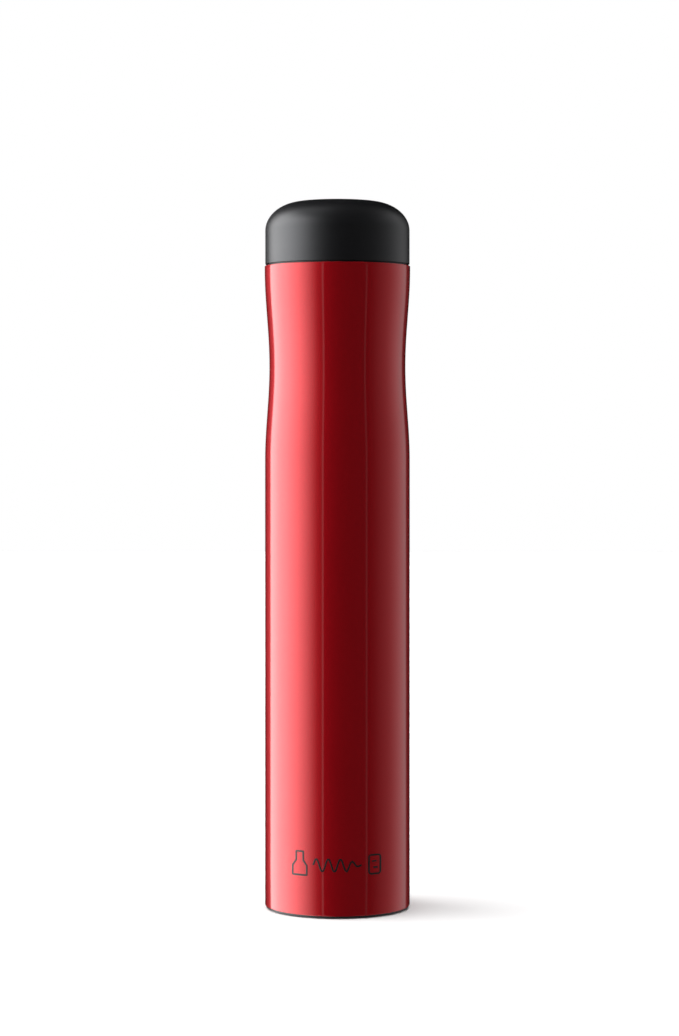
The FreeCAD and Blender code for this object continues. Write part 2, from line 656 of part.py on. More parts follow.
def double_flat(low, high):
    """A rod with two flats, as on the output shaft's ends."""
    return disc(SHAFT_RADIUS, low, high).common(block((-SHAFT_FLAT, SHAFT_FLAT),
                                                       (-SHAFT_RADIUS, SHAFT_RADIUS), (low, high)))


SHAFT_BOTTOM = WORM_TOP + 0.4


def output_shaft():
    """The steel shaft between the output carrier and the worm's hub."""
    shaft = fused([double_flat(SHAFT_BOTTOM, HUB_TOP), disc(SHAFT_RADIUS, HUB_TOP, OUTPUT_CARRIER_BOTTOM),
                   double_flat(OUTPUT_CARRIER_BOTTOM, OUTPUT_CARRIER_TOP)])
    return shaft.cut(rod(1.0, V(-9, 0, HUB_PIN_Z), V(9, 0, HUB_PIN_Z)))


def worm_hub():
    """The moulded head of the worm, with the socket for the output shaft."""
    body = lathe([(0, HUB_BOTTOM), (HUB_RADIUS - 1.2, HUB_BOTTOM), (HUB_RADIUS, HUB_BOTTOM + 1.2),
                  (HUB_RADIUS, HUB_TOP - 2.0), (HUB_RADIUS + 1.8, HUB_TOP - 1.4),
                  (HUB_RADIUS + 1.8, HUB_TOP), (0, HUB_TOP)])
    body = body.cut(double_flat(SHAFT_BOTTOM, HUB_TOP + 1))
    return body.cut(rod(1.0, V(-9, 0, HUB_PIN_Z), V(9, 0, HUB_PIN_Z)))


def hub_pin():
    """The cross pin through hub and shaft."""
    reach = HUB_RADIUS - 0.1
    return rod(1.0, V(-reach, 0, HUB_PIN_Z), V(reach, 0, HUB_PIN_Z))


def output_bearing():
    """The flanged bronze bush that the output shaft runs in."""
    bore = SHAFT_RADIUS + RUNNING
    return fused([ring(5.0, bore, FLOOR_BOTTOM, FLOOR_TOP),
                  ring(6.5, bore, FLOOR_BOTTOM - BEARING_FLANGE, FLOOR_BOTTOM)])


def thrust_washer():
    """The washer between the output carrier and the gearbox floor."""
    return ring(6.0, SHAFT_RADIUS + FIT, FLOOR_TOP + SEAT, OUTPUT_CARRIER_BOTTOM - SEAT)


def output_carrier():
    """The plate that the output planets ride on. It drives the worm."""
    plate = disc(CARRIER_RADIUS, OUTPUT_CARRIER_BOTTOM, OUTPUT_CARRIER_TOP)
    plate = plate.cut(double_flat(OUTPUT_CARRIER_BOTTOM - 1, OUTPUT_CARRIER_TOP + 1))
    for pin in planet_pins(OUTPUT_CARRIER_BOTTOM + 0.5, OUTPUT_CARRIER_TOP + 1):
        plate = plate.cut(pin)
    return plate


def output_pins():
    """Pins of the output stage."""
    return planet_pins(OUTPUT_CARRIER_BOTTOM + 0.5, OUTPUT_PLANETS_TOP)


def input_carrier():
    """The plate of the first stage, with the second stage's sun gear below it."""
    plate = disc(CARRIER_RADIUS, INPUT_CARRIER_BOTTOM, INPUT_CARRIER_TOP)
    for pin in planet_pins(INPUT_CARRIER_BOTTOM + 0.4, INPUT_CARRIER_TOP + 1):
        plate = plate.cut(pin)
    sun = outer_gear(SUN_TEETH, 0, OUTPUT_PLANETS_BOTTOM, INPUT_CARRIER_BOTTOM)
    return fused([plate, sun])


def input_pins():
    """Pins of the first stage."""
    return planet_pins(INPUT_CARRIER_BOTTOM + 0.4, INPUT_PLANETS_TOP)


def motor_pinion():
    """The brass sun gear pressed on the motor's shaft."""
    gear = outer_gear(SUN_TEETH, 0, INPUT_PLANETS_BOTTOM, INPUT_PLANETS_TOP + 0.3)
    return gear.cut(disc(MOTOR_SHAFT / 2, INPUT_PLANETS_BOTTOM - 1, INPUT_PLANETS_TOP + 1))


GEARBOX_SCREW_SHANK = 0.8
GEARBOX_SCREW_RADIUS = RING_ROOT + GEARBOX_SCREW_SHANK + 0.6
GEARBOX_SCREW_ANGLES = [60 + 120 * k for k in range(3)]
KEY_HALF = 1.5
KEY_OUTER = CHASSIS_INNER - 0.3


def gear_housing():
    """The ring gear and its floor. Four keys on its outside stop it turning in the chassis."""
    wall = disc(GEARBOX_OUTER, FLOOR_BOTTOM, PLATE_BOTTOM)
    key = block((GEARBOX_OUTER - 1, KEY_OUTER), (-KEY_HALF, KEY_HALF), (FLOOR_BOTTOM, PLATE_BOTTOM))
    body = fused([wall] + around(key, QUARTERS))
    space = gear_prism(RING_TEETH, RING_ROOT, RING_TIP, BACKLASH / 2, 180 / RING_TEETH,
                       FLOOR_TOP, PLATE_BOTTOM + 1)
    body = body.cut(space).cut(disc(5.0, FLOOR_BOTTOM - 1, FLOOR_TOP + 1))
    for a in GEARBOX_SCREW_ANGLES:
        body = body.cut(rod(GEARBOX_SCREW_SHANK, polar(GEARBOX_SCREW_RADIUS, a, PLATE_BOTTOM - 5.5),
                            polar(GEARBOX_SCREW_RADIUS, a, PLATE_BOTTOM + 1)))
    return body


def motor_plate():
    """The gearbox's steel cover, which carries the motor."""
    body = disc(GEARBOX_OUTER, PLATE_BOTTOM, MOTOR_FACE).cut(disc(4.0, PLATE_BOTTOM - 1, MOTOR_FACE + 1))
    for a in GEARBOX_SCREW_ANGLES:
        at = polar(GEARBOX_SCREW_RADIUS, a, MOTOR_FACE)
        body = body.cut(rod(GEARBOX_SCREW_SHANK + 0.1, at - UP * 5, at + UP))
        body = body.cut(rod(GEARBOX_SCREW_HEAD + 0.1, at - UP * 1.1, at + UP))
    for x in (-MOTOR_SCREW_PITCH / 2, MOTOR_SCREW_PITCH / 2):
        body = body.cut(rod(MOTOR_SCREW_SHANK + 0.1, V(x, 0, PLATE_BOTTOM - 1), V(x, 0, MOTOR_FACE + 1)))
        body = body.cut(rod(MOTOR_SCREW_HEAD + 0.1, V(x, 0, PLATE_BOTTOM - 1), V(x, 0, PLATE_BOTTOM + 1.3)))
    return body


GEARBOX_SCREW_HEAD = 1.4
MOTOR_SCREW_SHANK = 1.25
MOTOR_SCREW_HEAD = 2.2


def gearbox_screws():
    """Three screws that hold the motor plate on the gear housing."""
    return [screw(polar(GEARBOX_SCREW_RADIUS, a, MOTOR_FACE - 1.1 - 6.0), -UP, 6.0,
                  GEARBOX_SCREW_SHANK, GEARBOX_SCREW_HEAD, 1.0) for a in GEARBOX_SCREW_ANGLES]


def motor_screws():
    """Two screws from inside the gearbox into the motor's face."""
    seat = PLATE_BOTTOM + 1.3
    return [screw(V(x, 0, seat + 2.6), UP, 2.6, MOTOR_SCREW_SHANK, MOTOR_SCREW_HEAD, 1.2)
            for x in (-MOTOR_SCREW_PITCH / 2, MOTOR_SCREW_PITCH / 2)]


# ---- the motor ----
MOTOR_CAN_WALL = 0.8
MOTOR_END = 4.0             # height of the plastic end cap
MOTOR_BUSH = 3.1
MOTOR_BOSS = 1.3


def motor_can():
    """The motor's steel case, with vents in its side and threaded holes in its face."""
    top = MOTOR_TOP - MOTOR_END
    can = ring(MOTOR_RADIUS, MOTOR_RADIUS - MOTOR_CAN_WALL, MOTOR_FACE, top)
    face = ring(MOTOR_RADIUS, MOTOR_BUSH, MOTOR_FACE, MOTOR_FACE + 1.0)
    can = fused([can, face])
    vent = block((-2.5, 2.5), (-MOTOR_RADIUS - 1, MOTOR_RADIUS + 1), (MOTOR_FACE + 3, MOTOR_FACE + 4.6))
    can = can.cut(vent)
    for x in (-MOTOR_SCREW_PITCH / 2, MOTOR_SCREW_PITCH / 2):
        can = can.cut(rod(MOTOR_SCREW_SHANK, V(x, 0, MOTOR_FACE - 1), V(x, 0, MOTOR_FACE + 2)))
    return can


def motor_end_cap():
    """The plastic end of the motor, which holds the rear bush."""
    low = MOTOR_TOP - MOTOR_END
    body = fused([disc(MOTOR_RADIUS, low, MOTOR_TOP - 1.2),
                  disc(MOTOR_RADIUS - 2, MOTOR_TOP - 1.2, MOTOR_TOP)])
    body = body.cut(disc(MOTOR_BUSH, low - 1, MOTOR_TOP - 0.8))
    body = body.cut(disc(MOTOR_SHAFT / 2 + 0.4, low, MOTOR_TOP + 1))
    for x in (-TERMINAL_X, TERMINAL_X):
        body = body.cut(block((x - 0.3, x + 0.3), (-1.4, 1.4), (low - 1, MOTOR_TOP + 1)))
    return body


TERMINAL_X = 7.6
TERMINAL_HALF = 1.35


def motor_terminals():
    """Two tabs that the motor's wires are soldered to."""
    return [block((x - 0.25, x + 0.25), (-TERMINAL_HALF, TERMINAL_HALF), (MOTOR_TOP - 2.6, MOTOR_TOP + 1.7))
            for x in (-TERMINAL_X, TERMINAL_X)]


def motor_magnets():
    """Two curved magnets against the inside of the can."""
    outer = MOTOR_RADIUS - MOTOR_CAN_WALL
    body = ring(outer, outer - 2.4, MOTOR_FACE + 5, MOTOR_FACE + 22)
    gap = block((-3.5, 3.5), (-MOTOR_RADIUS, MOTOR_RADIUS), (MOTOR_FACE, MOTOR_TOP))
    return body.cut(gap).Solids


def motor_bushes():
    """Bronze bushes at both ends of the motor's shaft."""
    bore = MOTOR_SHAFT / 2 + 0.03
    return [ring(MOTOR_BUSH, bore, MOTOR_FACE - MOTOR_BOSS, MOTOR_FACE + 2.2),
            ring(MOTOR_BUSH, bore, MOTOR_TOP - MOTOR_END + 0.2, MOTOR_TOP - 0.9)]


def motor_armature():
    """The motor's shaft with its three-pole core, windings and commutator."""
    core_radius = MOTOR_RADIUS - MOTOR_CAN_WALL - 2.4 - 0.4
    low = MOTOR_FACE + 6
    high = MOTOR_FACE + 20
    core = disc(core_radius, low, high)
    for slot in around(block((3.0, core_radius + 1), (-1.2, 1.2), (low - 1, high + 1)), PLANET_ANGLES):
        core = core.cut(slot)
    windings = disc(core_radius - 1.6, low - 1.8, high + 1.8)
    commutator = disc(2.9, high + 1.8, high + 6.0)
    shaft = disc(MOTOR_SHAFT / 2, INPUT_PLANETS_BOTTOM, MOTOR_TOP - 0.6)
    return fused([core, windings, commutator, shaft])


# ---- the battery compartment ----
CELL_SIGNS = ((1, 1), (-1, 1), (-1, -1), (1, -1))    # the cells' quadrants, in series order
CELL_PLUS_UP = (True, False, True, False)
NUB_RADIUS = 2.75
NUB_HEIGHT = 1.2


def cell_centre(sign):
    """A cell's place in plan."""
    return V(sign[0] * CELL_OFFSET, sign[1] * CELL_OFFSET, 0)


def battery_cells():
    """Four AA cells, standing head up and head down by turns."""
    body_height = CELL_LENGTH - NUB_HEIGHT
    ease = 0.6
    flat = 0.3
    profile = [(0, 0), (CELL_RADIUS - 2.5, 0), (CELL_RADIUS - 2.2, flat), (CELL_RADIUS - ease, flat),
               (CELL_RADIUS, flat + ease), (CELL_RADIUS, body_height - ease),
               (CELL_RADIUS - ease, body_height),
               (NUB_RADIUS, body_height), (NUB_RADIUS, CELL_LENGTH - 0.2), (NUB_RADIUS - 0.2, CELL_LENGTH),
               (0, CELL_LENGTH)]
    cells = []
    for sign, plus_up in zip(CELL_SIGNS, CELL_PLUS_UP):
        cell = lathe(profile)
        if plus_up:
            cell.translate(V(0, 0, CELLS_BOTTOM + CELL_SPRING))
        else:
            cell.rotate(ORIGIN, ACROSS, 180)
            cell.translate(V(0, 0, CELLS_TOP - CELL_SPRING))
        cell.translate(cell_centre(sign))
        cells.append(cell)
    return cells


def contact_spring(low, high, sign):
    """A contact spring between a plate and a cell's flat end. Its wire has eight flats."""
    wire = 0.6
    turns = 3
    height = high - low - wire - 0.02
    spring = coil(3.2, height / turns, height, wire, low + wire / 2 + 0.01, flats=8)
    spring.translate(cell_centre(sign))
    return spring


def floor_springs():
    """Springs below the cells that stand head up."""
    return [contact_spring(CELLS_BOTTOM, CELLS_BOTTOM + CELL_SPRING, sign)
            for sign, plus_up in zip(CELL_SIGNS, CELL_PLUS_UP) if plus_up]


def disc_springs():
    """Springs above the cells that stand head down."""
    return [contact_spring(CELLS_TOP - CELL_SPRING, CELLS_TOP, sign)
            for sign, plus_up in zip(CELL_SIGNS, CELL_PLUS_UP) if not plus_up]


PAD_HALF = 4.6              # half width of a contact plate under one cell


def contact_plate(signs, low, high):
    """A sheet-metal contact under one cell, or one that joins two."""
    xs = [cell_centre(s).x for s in signs]
    ys = [cell_centre(s).y for s in signs]
    return block((min(xs) - PAD_HALF, max(xs) + PAD_HALF), (min(ys) - PAD_HALF, max(ys) + PAD_HALF),
                 (low, high))


TAB_Y = CELL_OFFSET + PAD_HALF - 1.0             # where the outer contacts' tabs go through the tray
TAB_X = CELL_OFFSET + 2.0


def floor_contacts():
    """Contacts on the tray: one under the first cell, one joining the middle two, one under the last."""
    pieces = []
    for sign in (CELL_SIGNS[0], CELL_SIGNS[3]):
        plate = contact_plate([sign], TRAY_TOP, CELLS_BOTTOM)
        tab = block((TAB_X - 1.2, TAB_X + 1.2), (sign[1] * TAB_Y - 0.3, sign[1] * TAB_Y + 0.3),
                    (TRAY_BOTTOM - 1.2, TRAY_TOP + 0.1))
        pieces.append(fused([plate, tab]))
    pieces.append(contact_plate([CELL_SIGNS[1], CELL_SIGNS[2]], TRAY_TOP, CELLS_BOTTOM))
    return pieces


def disc_contacts():
    """Contacts under the disc: each joins two cells."""
    return [contact_plate(CELL_SIGNS[0:2], CELLS_TOP, DISC_BOTTOM),
            contact_plate(CELL_SIGNS[2:4], CELLS_TOP, DISC_BOTTOM)]


KEY_LEG_Y = 1.4
KEY_LEG_INNER = 14.2
KEY_LEG_OUTER = CELL_ENVELOPE - 0.3


def contact_disc():
    """The disc that carries the upper contacts. Two legs keep it from turning when the cap is turned."""
    radius = SPIGOT_OUTER - SPIGOT_WALL - 1.6
    body = disc(radius, DISC_BOTTOM, DISC_TOP)
    legs = [block((side * KEY_LEG_INNER, side * KEY_LEG_OUTER) if side > 0 else
                  (-KEY_LEG_OUTER, -KEY_LEG_INNER), (-KEY_LEG_Y, KEY_LEG_Y),
                  (CHASSIS_TOP - 7, DISC_TOP - 0.5)) for side in (-1, 1)]
    body = fused([body] + legs)
    return body.cut(disc(DISC_SCREW_SHOULDER + FIT, DISC_BOTTOM - 1, DISC_TOP + 1))


def battery_tray():
    """The floor of the battery compartment, with a post between the four cells."""
    post = disc(CELL_OFFSET - PAD_HALF - 0.2, TRAY_TOP, CELLS_TOP - 6)
    body = fused([disc(CHASSIS_INNER - 0.2, TRAY_BOTTOM, TRAY_TOP), post])
    for sign in (CELL_SIGNS[0], CELL_SIGNS[3]):
        body = body.cut(block((TAB_X - 1.4, TAB_X + 1.4), (sign[1] * TAB_Y - 0.5, sign[1] * TAB_Y + 0.5),
                              (TRAY_BOTTOM - 1, TRAY_TOP + 1)))
    return body


# ---- the chassis ----
CHASSIS_BOTTOM = BASE_FLOOR + SEAT
CHASSIS_SCREW_HEIGHTS = (CORK_TUBE_BOTTOM + 15, MOTOR_FACE + 10, CELLS_BOTTOM + 9)
CHASSIS_SCREW_BOSS = 2.2
CHASSIS_SCREW_SEAT = -6.0
CHASSIS_SCREW_TIP = 5.0


def shelf(inner, low, high):
    """A ring-shaped rib inside the chassis."""
    return ring(CHASSIS_INNER + 0.4, inner, low, high)


def cell_cradle(low, high):
    """A shelf with room for the four cells and the disc's legs."""
    body = disc(CHASSIS_INNER + 0.4, low, high)
    for sign in CELL_SIGNS:
        at = cell_centre(sign)
        body = body.cut(rod(CELL_RADIUS + 0.25, at + UP * (low - 1), at + UP * (high + 1)))
    body = body.cut(block((-CELL_OFFSET, CELL_OFFSET), (-CELL_OFFSET, CELL_OFFSET), (low - 1, high + 1)))
    reach = KEY_LEG_OUTER + 0.3
    play = KEY_LEG_Y + 0.2
    return body.cut(block((-reach, reach), (-play, play), (low - 1, high + 1)))


def chassis_shelves():
    """The ribs that hold the liner, cork tube, gearbox, motor and battery tray."""
    hold = 2.0
    return [
        shelf(LINER_OUTER + FIT, BASE_FLOOR + 3.2, BASE_FLOOR + 10),
        shelf(LINER_OUTER + FIT, WORM_TIP - hold, WORM_TIP),
        shelf(LINER_OUTER + FIT, LIP_STOP - hold, LIP_STOP),
        shelf(CORK_TUBE_OUTER + FIT, HUB_BOTTOM - 20, HUB_BOTTOM - 20 + hold),
        shelf(CORK_TUBE_OUTER + FIT, CORK_TUBE_TOP - CORK_FLANGE - hold, CORK_TUBE_TOP - CORK_FLANGE - SEAT),
        shelf(GEARBOX_OUTER - 2.5, FLOOR_BOTTOM - hold, FLOOR_BOTTOM - SEAT),
        shelf(GEARBOX_OUTER + FIT, FLOOR_BOTTOM + 2, FLOOR_BOTTOM + 2 + hold),
        shelf(GEARBOX_OUTER + FIT, PLATE_BOTTOM - 2 - hold, PLATE_BOTTOM - 2),
        shelf(MOTOR_RADIUS + 2, MOTOR_FACE + SEAT, MOTOR_FACE + hold),
        shelf(MOTOR_RADIUS + FIT, MOTOR_TOP - 9, MOTOR_TOP - 9 + hold),
        shelf(CHASSIS_INNER - 2.4, TRAY_BOTTOM - hold, TRAY_BOTTOM - SEAT),
        shelf(CHASSIS_INNER - 0.9, TRAY_TOP + SEAT, TRAY_TOP + 1.4),
        cell_cradle(CHASSIS_TOP - 8, CHASSIS_TOP - 5.5),
    ]


def inside_chassis(shape):
    """A rib clipped to the chassis's bore, and rooted in its wall."""
    return shape.common(disc(CHASSIS_INNER + 0.4, CHASSIS_BOTTOM, CHASSIS_TOP))


def switch_cheeks():
    """Two walls that hold the switch between them and the lever's pin."""
    low = PIVOT_Z - 2.2
    high = SWITCH_BOTTOM + SWITCH_HEIGHT
    inner = SWITCH_HALF_LENGTH + FIT
    walls = [block((inner, inner + CHEEK), (CORK_TUBE_OUTER + 0.2, CHASSIS_OUTER), (low, high)),
             block((-inner - CHEEK, -inner), (CORK_TUBE_OUTER + 0.2, CHASSIS_OUTER), (low, high))]
    pin = rod(LEVER_PIN, V(-20, PIVOT_Y, PIVOT_Z), V(20, PIVOT_Y, PIVOT_Z))
    return [inside_chassis(wall).cut(pin) for wall in walls]


def board_rails():
    """Two grooved rails for the edges of the control board."""
    groove = block((-BOARD_HALF_WIDTH - 0.15, BOARD_HALF_WIDTH + 0.15),
                   (BOARD_INNER - FIT, BOARD_OUTER + FIT), (BOARD_BOTTOM, BOARD_TOP + 1))
    inner = BOARD_HALF_WIDTH - 1.2
    outer = BOARD_HALF_WIDTH + 2.4
    y = (BOARD_INNER - 1.2, CHASSIS_OUTER)
    rails = [block((inner, outer), y, (BOARD_BOTTOM - 1, BOARD_TOP)),
             block((-outer, -inner), y, (BOARD_BOTTOM - 1, BOARD_TOP))]
    keep = block((-outer, outer), (BOARD_INNER - 1.2, BOARD_OUTER + 1.2), (BOARD_BOTTOM - 1, BOARD_TOP))
    webs = [block((outer - 1.2, outer), y, (BOARD_BOTTOM - 1, BOARD_TOP)),
            block((-outer, -outer + 1.2), y, (BOARD_BOTTOM - 1, BOARD_TOP))]
    grooved = [rail.common(keep).cut(groove) for rail in rails]
    return [inside_chassis(shape) for shape in grooved + webs]


def chassis_whole():
    """Both halves of the chassis together, before they are parted."""
    shell = ring(CHASSIS_OUTER, CHASSIS_INNER, CHASSIS_BOTTOM, CHASSIS_TOP)
    body = fused([shell] + chassis_shelves())
    keyway = block((GEARBOX_OUTER - 1, CHASSIS_INNER - 0.05), (-KEY_HALF - 0.15, KEY_HALF + 0.15),
                   (FLOOR_BOTTOM - SEAT, PLATE_BOTTOM))
    for cut in around(keyway, QUARTERS):
        body = body.cut(cut)
    lever_room = LEVER_WIDTH / 2 + 0.8
    body = body.cut(block((-lever_room, lever_room), (NECK_RADIUS - 2, CHASSIS_INNER),
                          (NUB_Z - NUB_HALF - 2, PIVOT_Z)))
    body = body.cut(block((-lever_room, lever_room), (NECK_RADIUS, CHASSIS_OUTER + 1),
                          (NUB_Z - NUB_HALF - 2, NUB_Z + 14)))
    board_room = block((-BOARD_HALF_WIDTH - 0.15, BOARD_HALF_WIDTH + 0.15),
                       (BOARD_INNER - 1.4, CHASSIS_INNER - 0.05), (BOARD_BOTTOM - 0.5, TRAY_BOTTOM - 0.05))
    channel = block((-LEAD_CHANNEL_HALF, LEAD_CHANNEL_HALF),
                    (GEARBOX_OUTER + 0.2, CHASSIS_INNER - 0.05),
                    (SWITCH_BOTTOM + SWITCH_HEIGHT, BOARD_BOTTOM))
    crossing = block((-LEAD_CHANNEL_HALF, LEAD_CHANNEL_HALF),
                     (BOARD_INNER - 1.4, CHASSIS_INNER - 0.05), (MOTOR_FACE - SEAT, BOARD_BOTTOM))
    body = body.cut(board_room).cut(channel).cut(crossing)
    parts = [body] + switch_cheeks() + board_rails()
    for y in (-COLLAR_SCREW_RADIUS, COLLAR_SCREW_RADIUS):
        parts.append(inside_chassis(rod(2.2, V(0, y, CHASSIS_TOP - 9), V(0, y, CHASSIS_TOP))))
    for z in CHASSIS_SCREW_HEIGHTS:
        for x in (-CHASSIS_SCREW_X, CHASSIS_SCREW_X):
            parts.append(inside_chassis(rod(CHASSIS_SCREW_BOSS, V(x, -8, z), V(x, 7, z))))
    body = fused(parts)
    for y in (-COLLAR_SCREW_RADIUS, COLLAR_SCREW_RADIUS):
        body = body.cut(rod(SCREW_SHANK, V(0, y, CHASSIS_TOP - 8), V(0, y, CHASSIS_TOP + 1)))
    for a in QUARTERS:
        at = polar(BASE_SCREW_RADIUS, a)
        body = body.cut(rod(SCREW_SHANK, at, at + UP * (PAD_THICKNESS + SCREW_HEAD_HEIGHT + 9.2)))
    for z in CHASSIS_SCREW_HEIGHTS:
        for x in (-CHASSIS_SCREW_X, CHASSIS_SCREW_X):
            body = body.cut(rod(SCREW_SHANK, V(x, -1, z), V(x, CHASSIS_SCREW_TIP + 0.5, z)))
            body = body.cut(rod(SCREW_SHANK + 0.15, V(x, CHASSIS_SCREW_SEAT, z), V(x, 0, z)))
            body = body.cut(rod(SCREW_HEAD + 0.15, V(x, -CHASSIS_OUTER, z), V(x, CHASSIS_SCREW_SEAT, z)))
    return body


def half_space(side):
    """A box that holds the front (-1) or rear (+1) half of the chassis."""
    wide = CHASSIS_OUTER + 5
    part_gap = 0.05
    y = (part_gap, wide) if side > 0 else (-wide, -part_gap)
    return block((-wide, wide), y, (0, OVERALL_HEIGHT))


def chassis_screws():
    """Six screws that hold the chassis's halves together."""
    length = CHASSIS_SCREW_TIP - CHASSIS_SCREW_SEAT
    return [screw(V(x, CHASSIS_SCREW_TIP, z), FRONT_TO_REAR, length)
            for z in CHASSIS_SCREW_HEIGHTS for x in (-CHASSIS_SCREW_X, CHASSIS_SCREW_X)]


# ---- the lever and its switch ----
def trigger_lever():
    """The lever that the bottle's lip pushes outwards. Its foot lifts the switch's plunger."""
    half = LEVER_WIDTH / 2
    tip = NECK_RADIUS - NUB_REACH
    arm = block((-half, half), (ARM_INNER, ARM_OUTER), (NUB_Z - NUB_HALF, PIVOT_Z))
    boss = rod(LEVER_BOSS, V(-half, PIVOT_Y, PIVOT_Z), V(half, PIVOT_Y, PIVOT_Z))
    foot = block((-half, half), (PIVOT_Y, PIVOT_Y + FOOT_LENGTH),
                 (PIVOT_Z - FOOT_HALF, PIVOT_Z + FOOT_HALF))
    outline = [V(-half, ARM_INNER, NUB_Z - NUB_HALF), V(-half, tip, NUB_Z - 0.6), V(-half, tip, NUB_Z + 0.6),
               V(-half, ARM_INNER, NUB_Z + NUB_HALF)]
    nub = Part.Face(Part.makePolygon(outline + outline[:1])).extrude(V(LEVER_WIDTH, 0, 0))
    body = fused([arm, boss, foot, nub])
    return body.cut(rod(LEVER_PIN + RUNNING, V(-half - 1, PIVOT_Y, PIVOT_Z), V(half + 1, PIVOT_Y, PIVOT_Z)))


def lever_pin():
    """The pin that the lever swings on."""
    reach = SWITCH_HALF_LENGTH + CHEEK - 0.1
    return rod(LEVER_PIN, V(-reach, PIVOT_Y, PIVOT_Z), V(reach, PIVOT_Y, PIVOT_Z))


PLUNGER_RADIUS = 0.6
SWITCH_PIN_XS = (-2.4, 0.0, 2.4)
SWITCH_PIN_Y = (SWITCH_INNER + SWITCH_OUTER) / 2


def switch_body():
    """The start switch's case with its three pins."""
    case = block((-SWITCH_HALF_LENGTH, SWITCH_HALF_LENGTH), (SWITCH_INNER, SWITCH_OUTER),
                 (SWITCH_BOTTOM, SWITCH_BOTTOM + SWITCH_HEIGHT))
    bore = rod(PLUNGER_RADIUS + RUNNING, V(0, PLUNGER_Y, SWITCH_BOTTOM - 1),
               V(0, PLUNGER_Y, SWITCH_BOTTOM + 2.6))
    pins = [block((x - 0.3, x + 0.3), (SWITCH_PIN_Y - 0.2, SWITCH_PIN_Y + 0.2),
                  (SWITCH_BOTTOM + SWITCH_HEIGHT - 0.5, SWITCH_BOTTOM + SWITCH_HEIGHT + 2.2))
            for x in SWITCH_PIN_XS]
    return fused([case.cut(bore)] + pins)


def switch_plunger():
    """The switch's small plunger, which rests on the lever's foot."""
    tip = PIVOT_Z + FOOT_HALF + 0.05
    body = rod(PLUNGER_RADIUS, V(0, PLUNGER_Y, tip + PLUNGER_RADIUS), V(0, PLUNGER_Y, SWITCH_BOTTOM + 2.0))
    dome = Part.makeSphere(PLUNGER_RADIUS, V(0, PLUNGER_Y, tip + PLUNGER_RADIUS))
    return fused([body, dome])


# ---- the control board and wires ----
def control_board():
    """The board beside the motor, held in the rear half's rails."""
    return block((-BOARD_HALF_WIDTH, BOARD_HALF_WIDTH), (BOARD_INNER, BOARD_OUTER),
                 (BOARD_BOTTOM, BOARD_TOP))


def on_board(x, z, height):
    """A flat package on the board's outer face, from its plan ranges and its height."""
    low, high = z
    return block(x, (BOARD_OUTER, BOARD_OUTER + height), (BOARD_BOTTOM + low, BOARD_BOTTOM + high))


def board_parts():
    """A capacitor, two power transistors, a controller and small chips."""
    can = 2.2
    capacitor = rod(can, V(-3.2, BOARD_OUTER + can, BOARD_BOTTOM + 14),
                    V(-3.2, BOARD_OUTER + can, BOARD_BOTTOM + 22))
    parts = [capacitor, on_board((1.0, 5.0), (14, 19), 1.8), on_board((5.6, 9.4), (14, 19), 1.8),
             on_board((-8.6, -4.6), (4.5, 9.5), 1.5)]
    chip = 0.6
    for row in range(2):
        for column in range(4):
            x = -2.5 + 2.4 * column
            z = 5.0 + 3.2 * row
            parts.append(on_board((x, x + 1.2), (z, z + 0.8), chip))
    return parts


def motor_leads():
    """Two wires from the board, over its top, to the motor's terminals."""
    over = MOTOR_TOP + 0.75
    out = BOARD_OUTER + LEAD / 2 + 0.05
    leads = []
    for side in (-1, 1):
        x = side * TERMINAL_X
        end_y = TERMINAL_HALF
        leads.append(lead([V(x, out, BOARD_TOP - 3.2), V(x, out, over), V(x, end_y, over)]))
    return leads


def battery_leads():
    """Two wires from the tray's outer contacts to the board."""
    tab_end = TRAY_BOTTOM - 0.65
    rear = BOARD_OUTER + LEAD / 2 + 0.05
    low = BOARD_TOP - 3.2
    x = TAB_X - 0.6
    first = lead([V(x, TAB_Y + 0.3, tab_end), V(x, rear, tab_end), V(x, rear, low)], 1.0)
    x = 4.0
    far = V(TAB_X - 1.2, -TAB_Y, tab_end)
    second = lead([far, V(x, -TAB_Y, tab_end), V(x, rear, tab_end), V(x, rear, low)], 1.0)
    return [first, second]


def switch_leads():
    """Two wires from the switch, past the gearbox, to the foot of the board."""
    low = SWITCH_BOTTOM + SWITCH_HEIGHT + 2.2
    bend = low + 3.5
    above = MOTOR_FACE + 0.8
    out = BOARD_OUTER + LEAD / 2 + 0.05
    return [lead([V(x, SWITCH_PIN_Y, low), V(x, SWITCH_PIN_Y, bend), V(x, LEAD_CHANNEL_Y, bend + 5),
                  V(x, LEAD_CHANNEL_Y, above), V(x, out, above + 4), V(x, out, BOARD_BOTTOM + 4)])
            for x in (SWITCH_PIN_XS[0], SWITCH_PIN_XS[2])]


# ---- export ----
def planet_nodes(stage, low, high):
    """One node for each planet of a stage."""
    return {f"{stage}_planet_{letter}": planet(angle, low, high)
            for letter, angle in zip("abc", PLANET_ANGLES)}


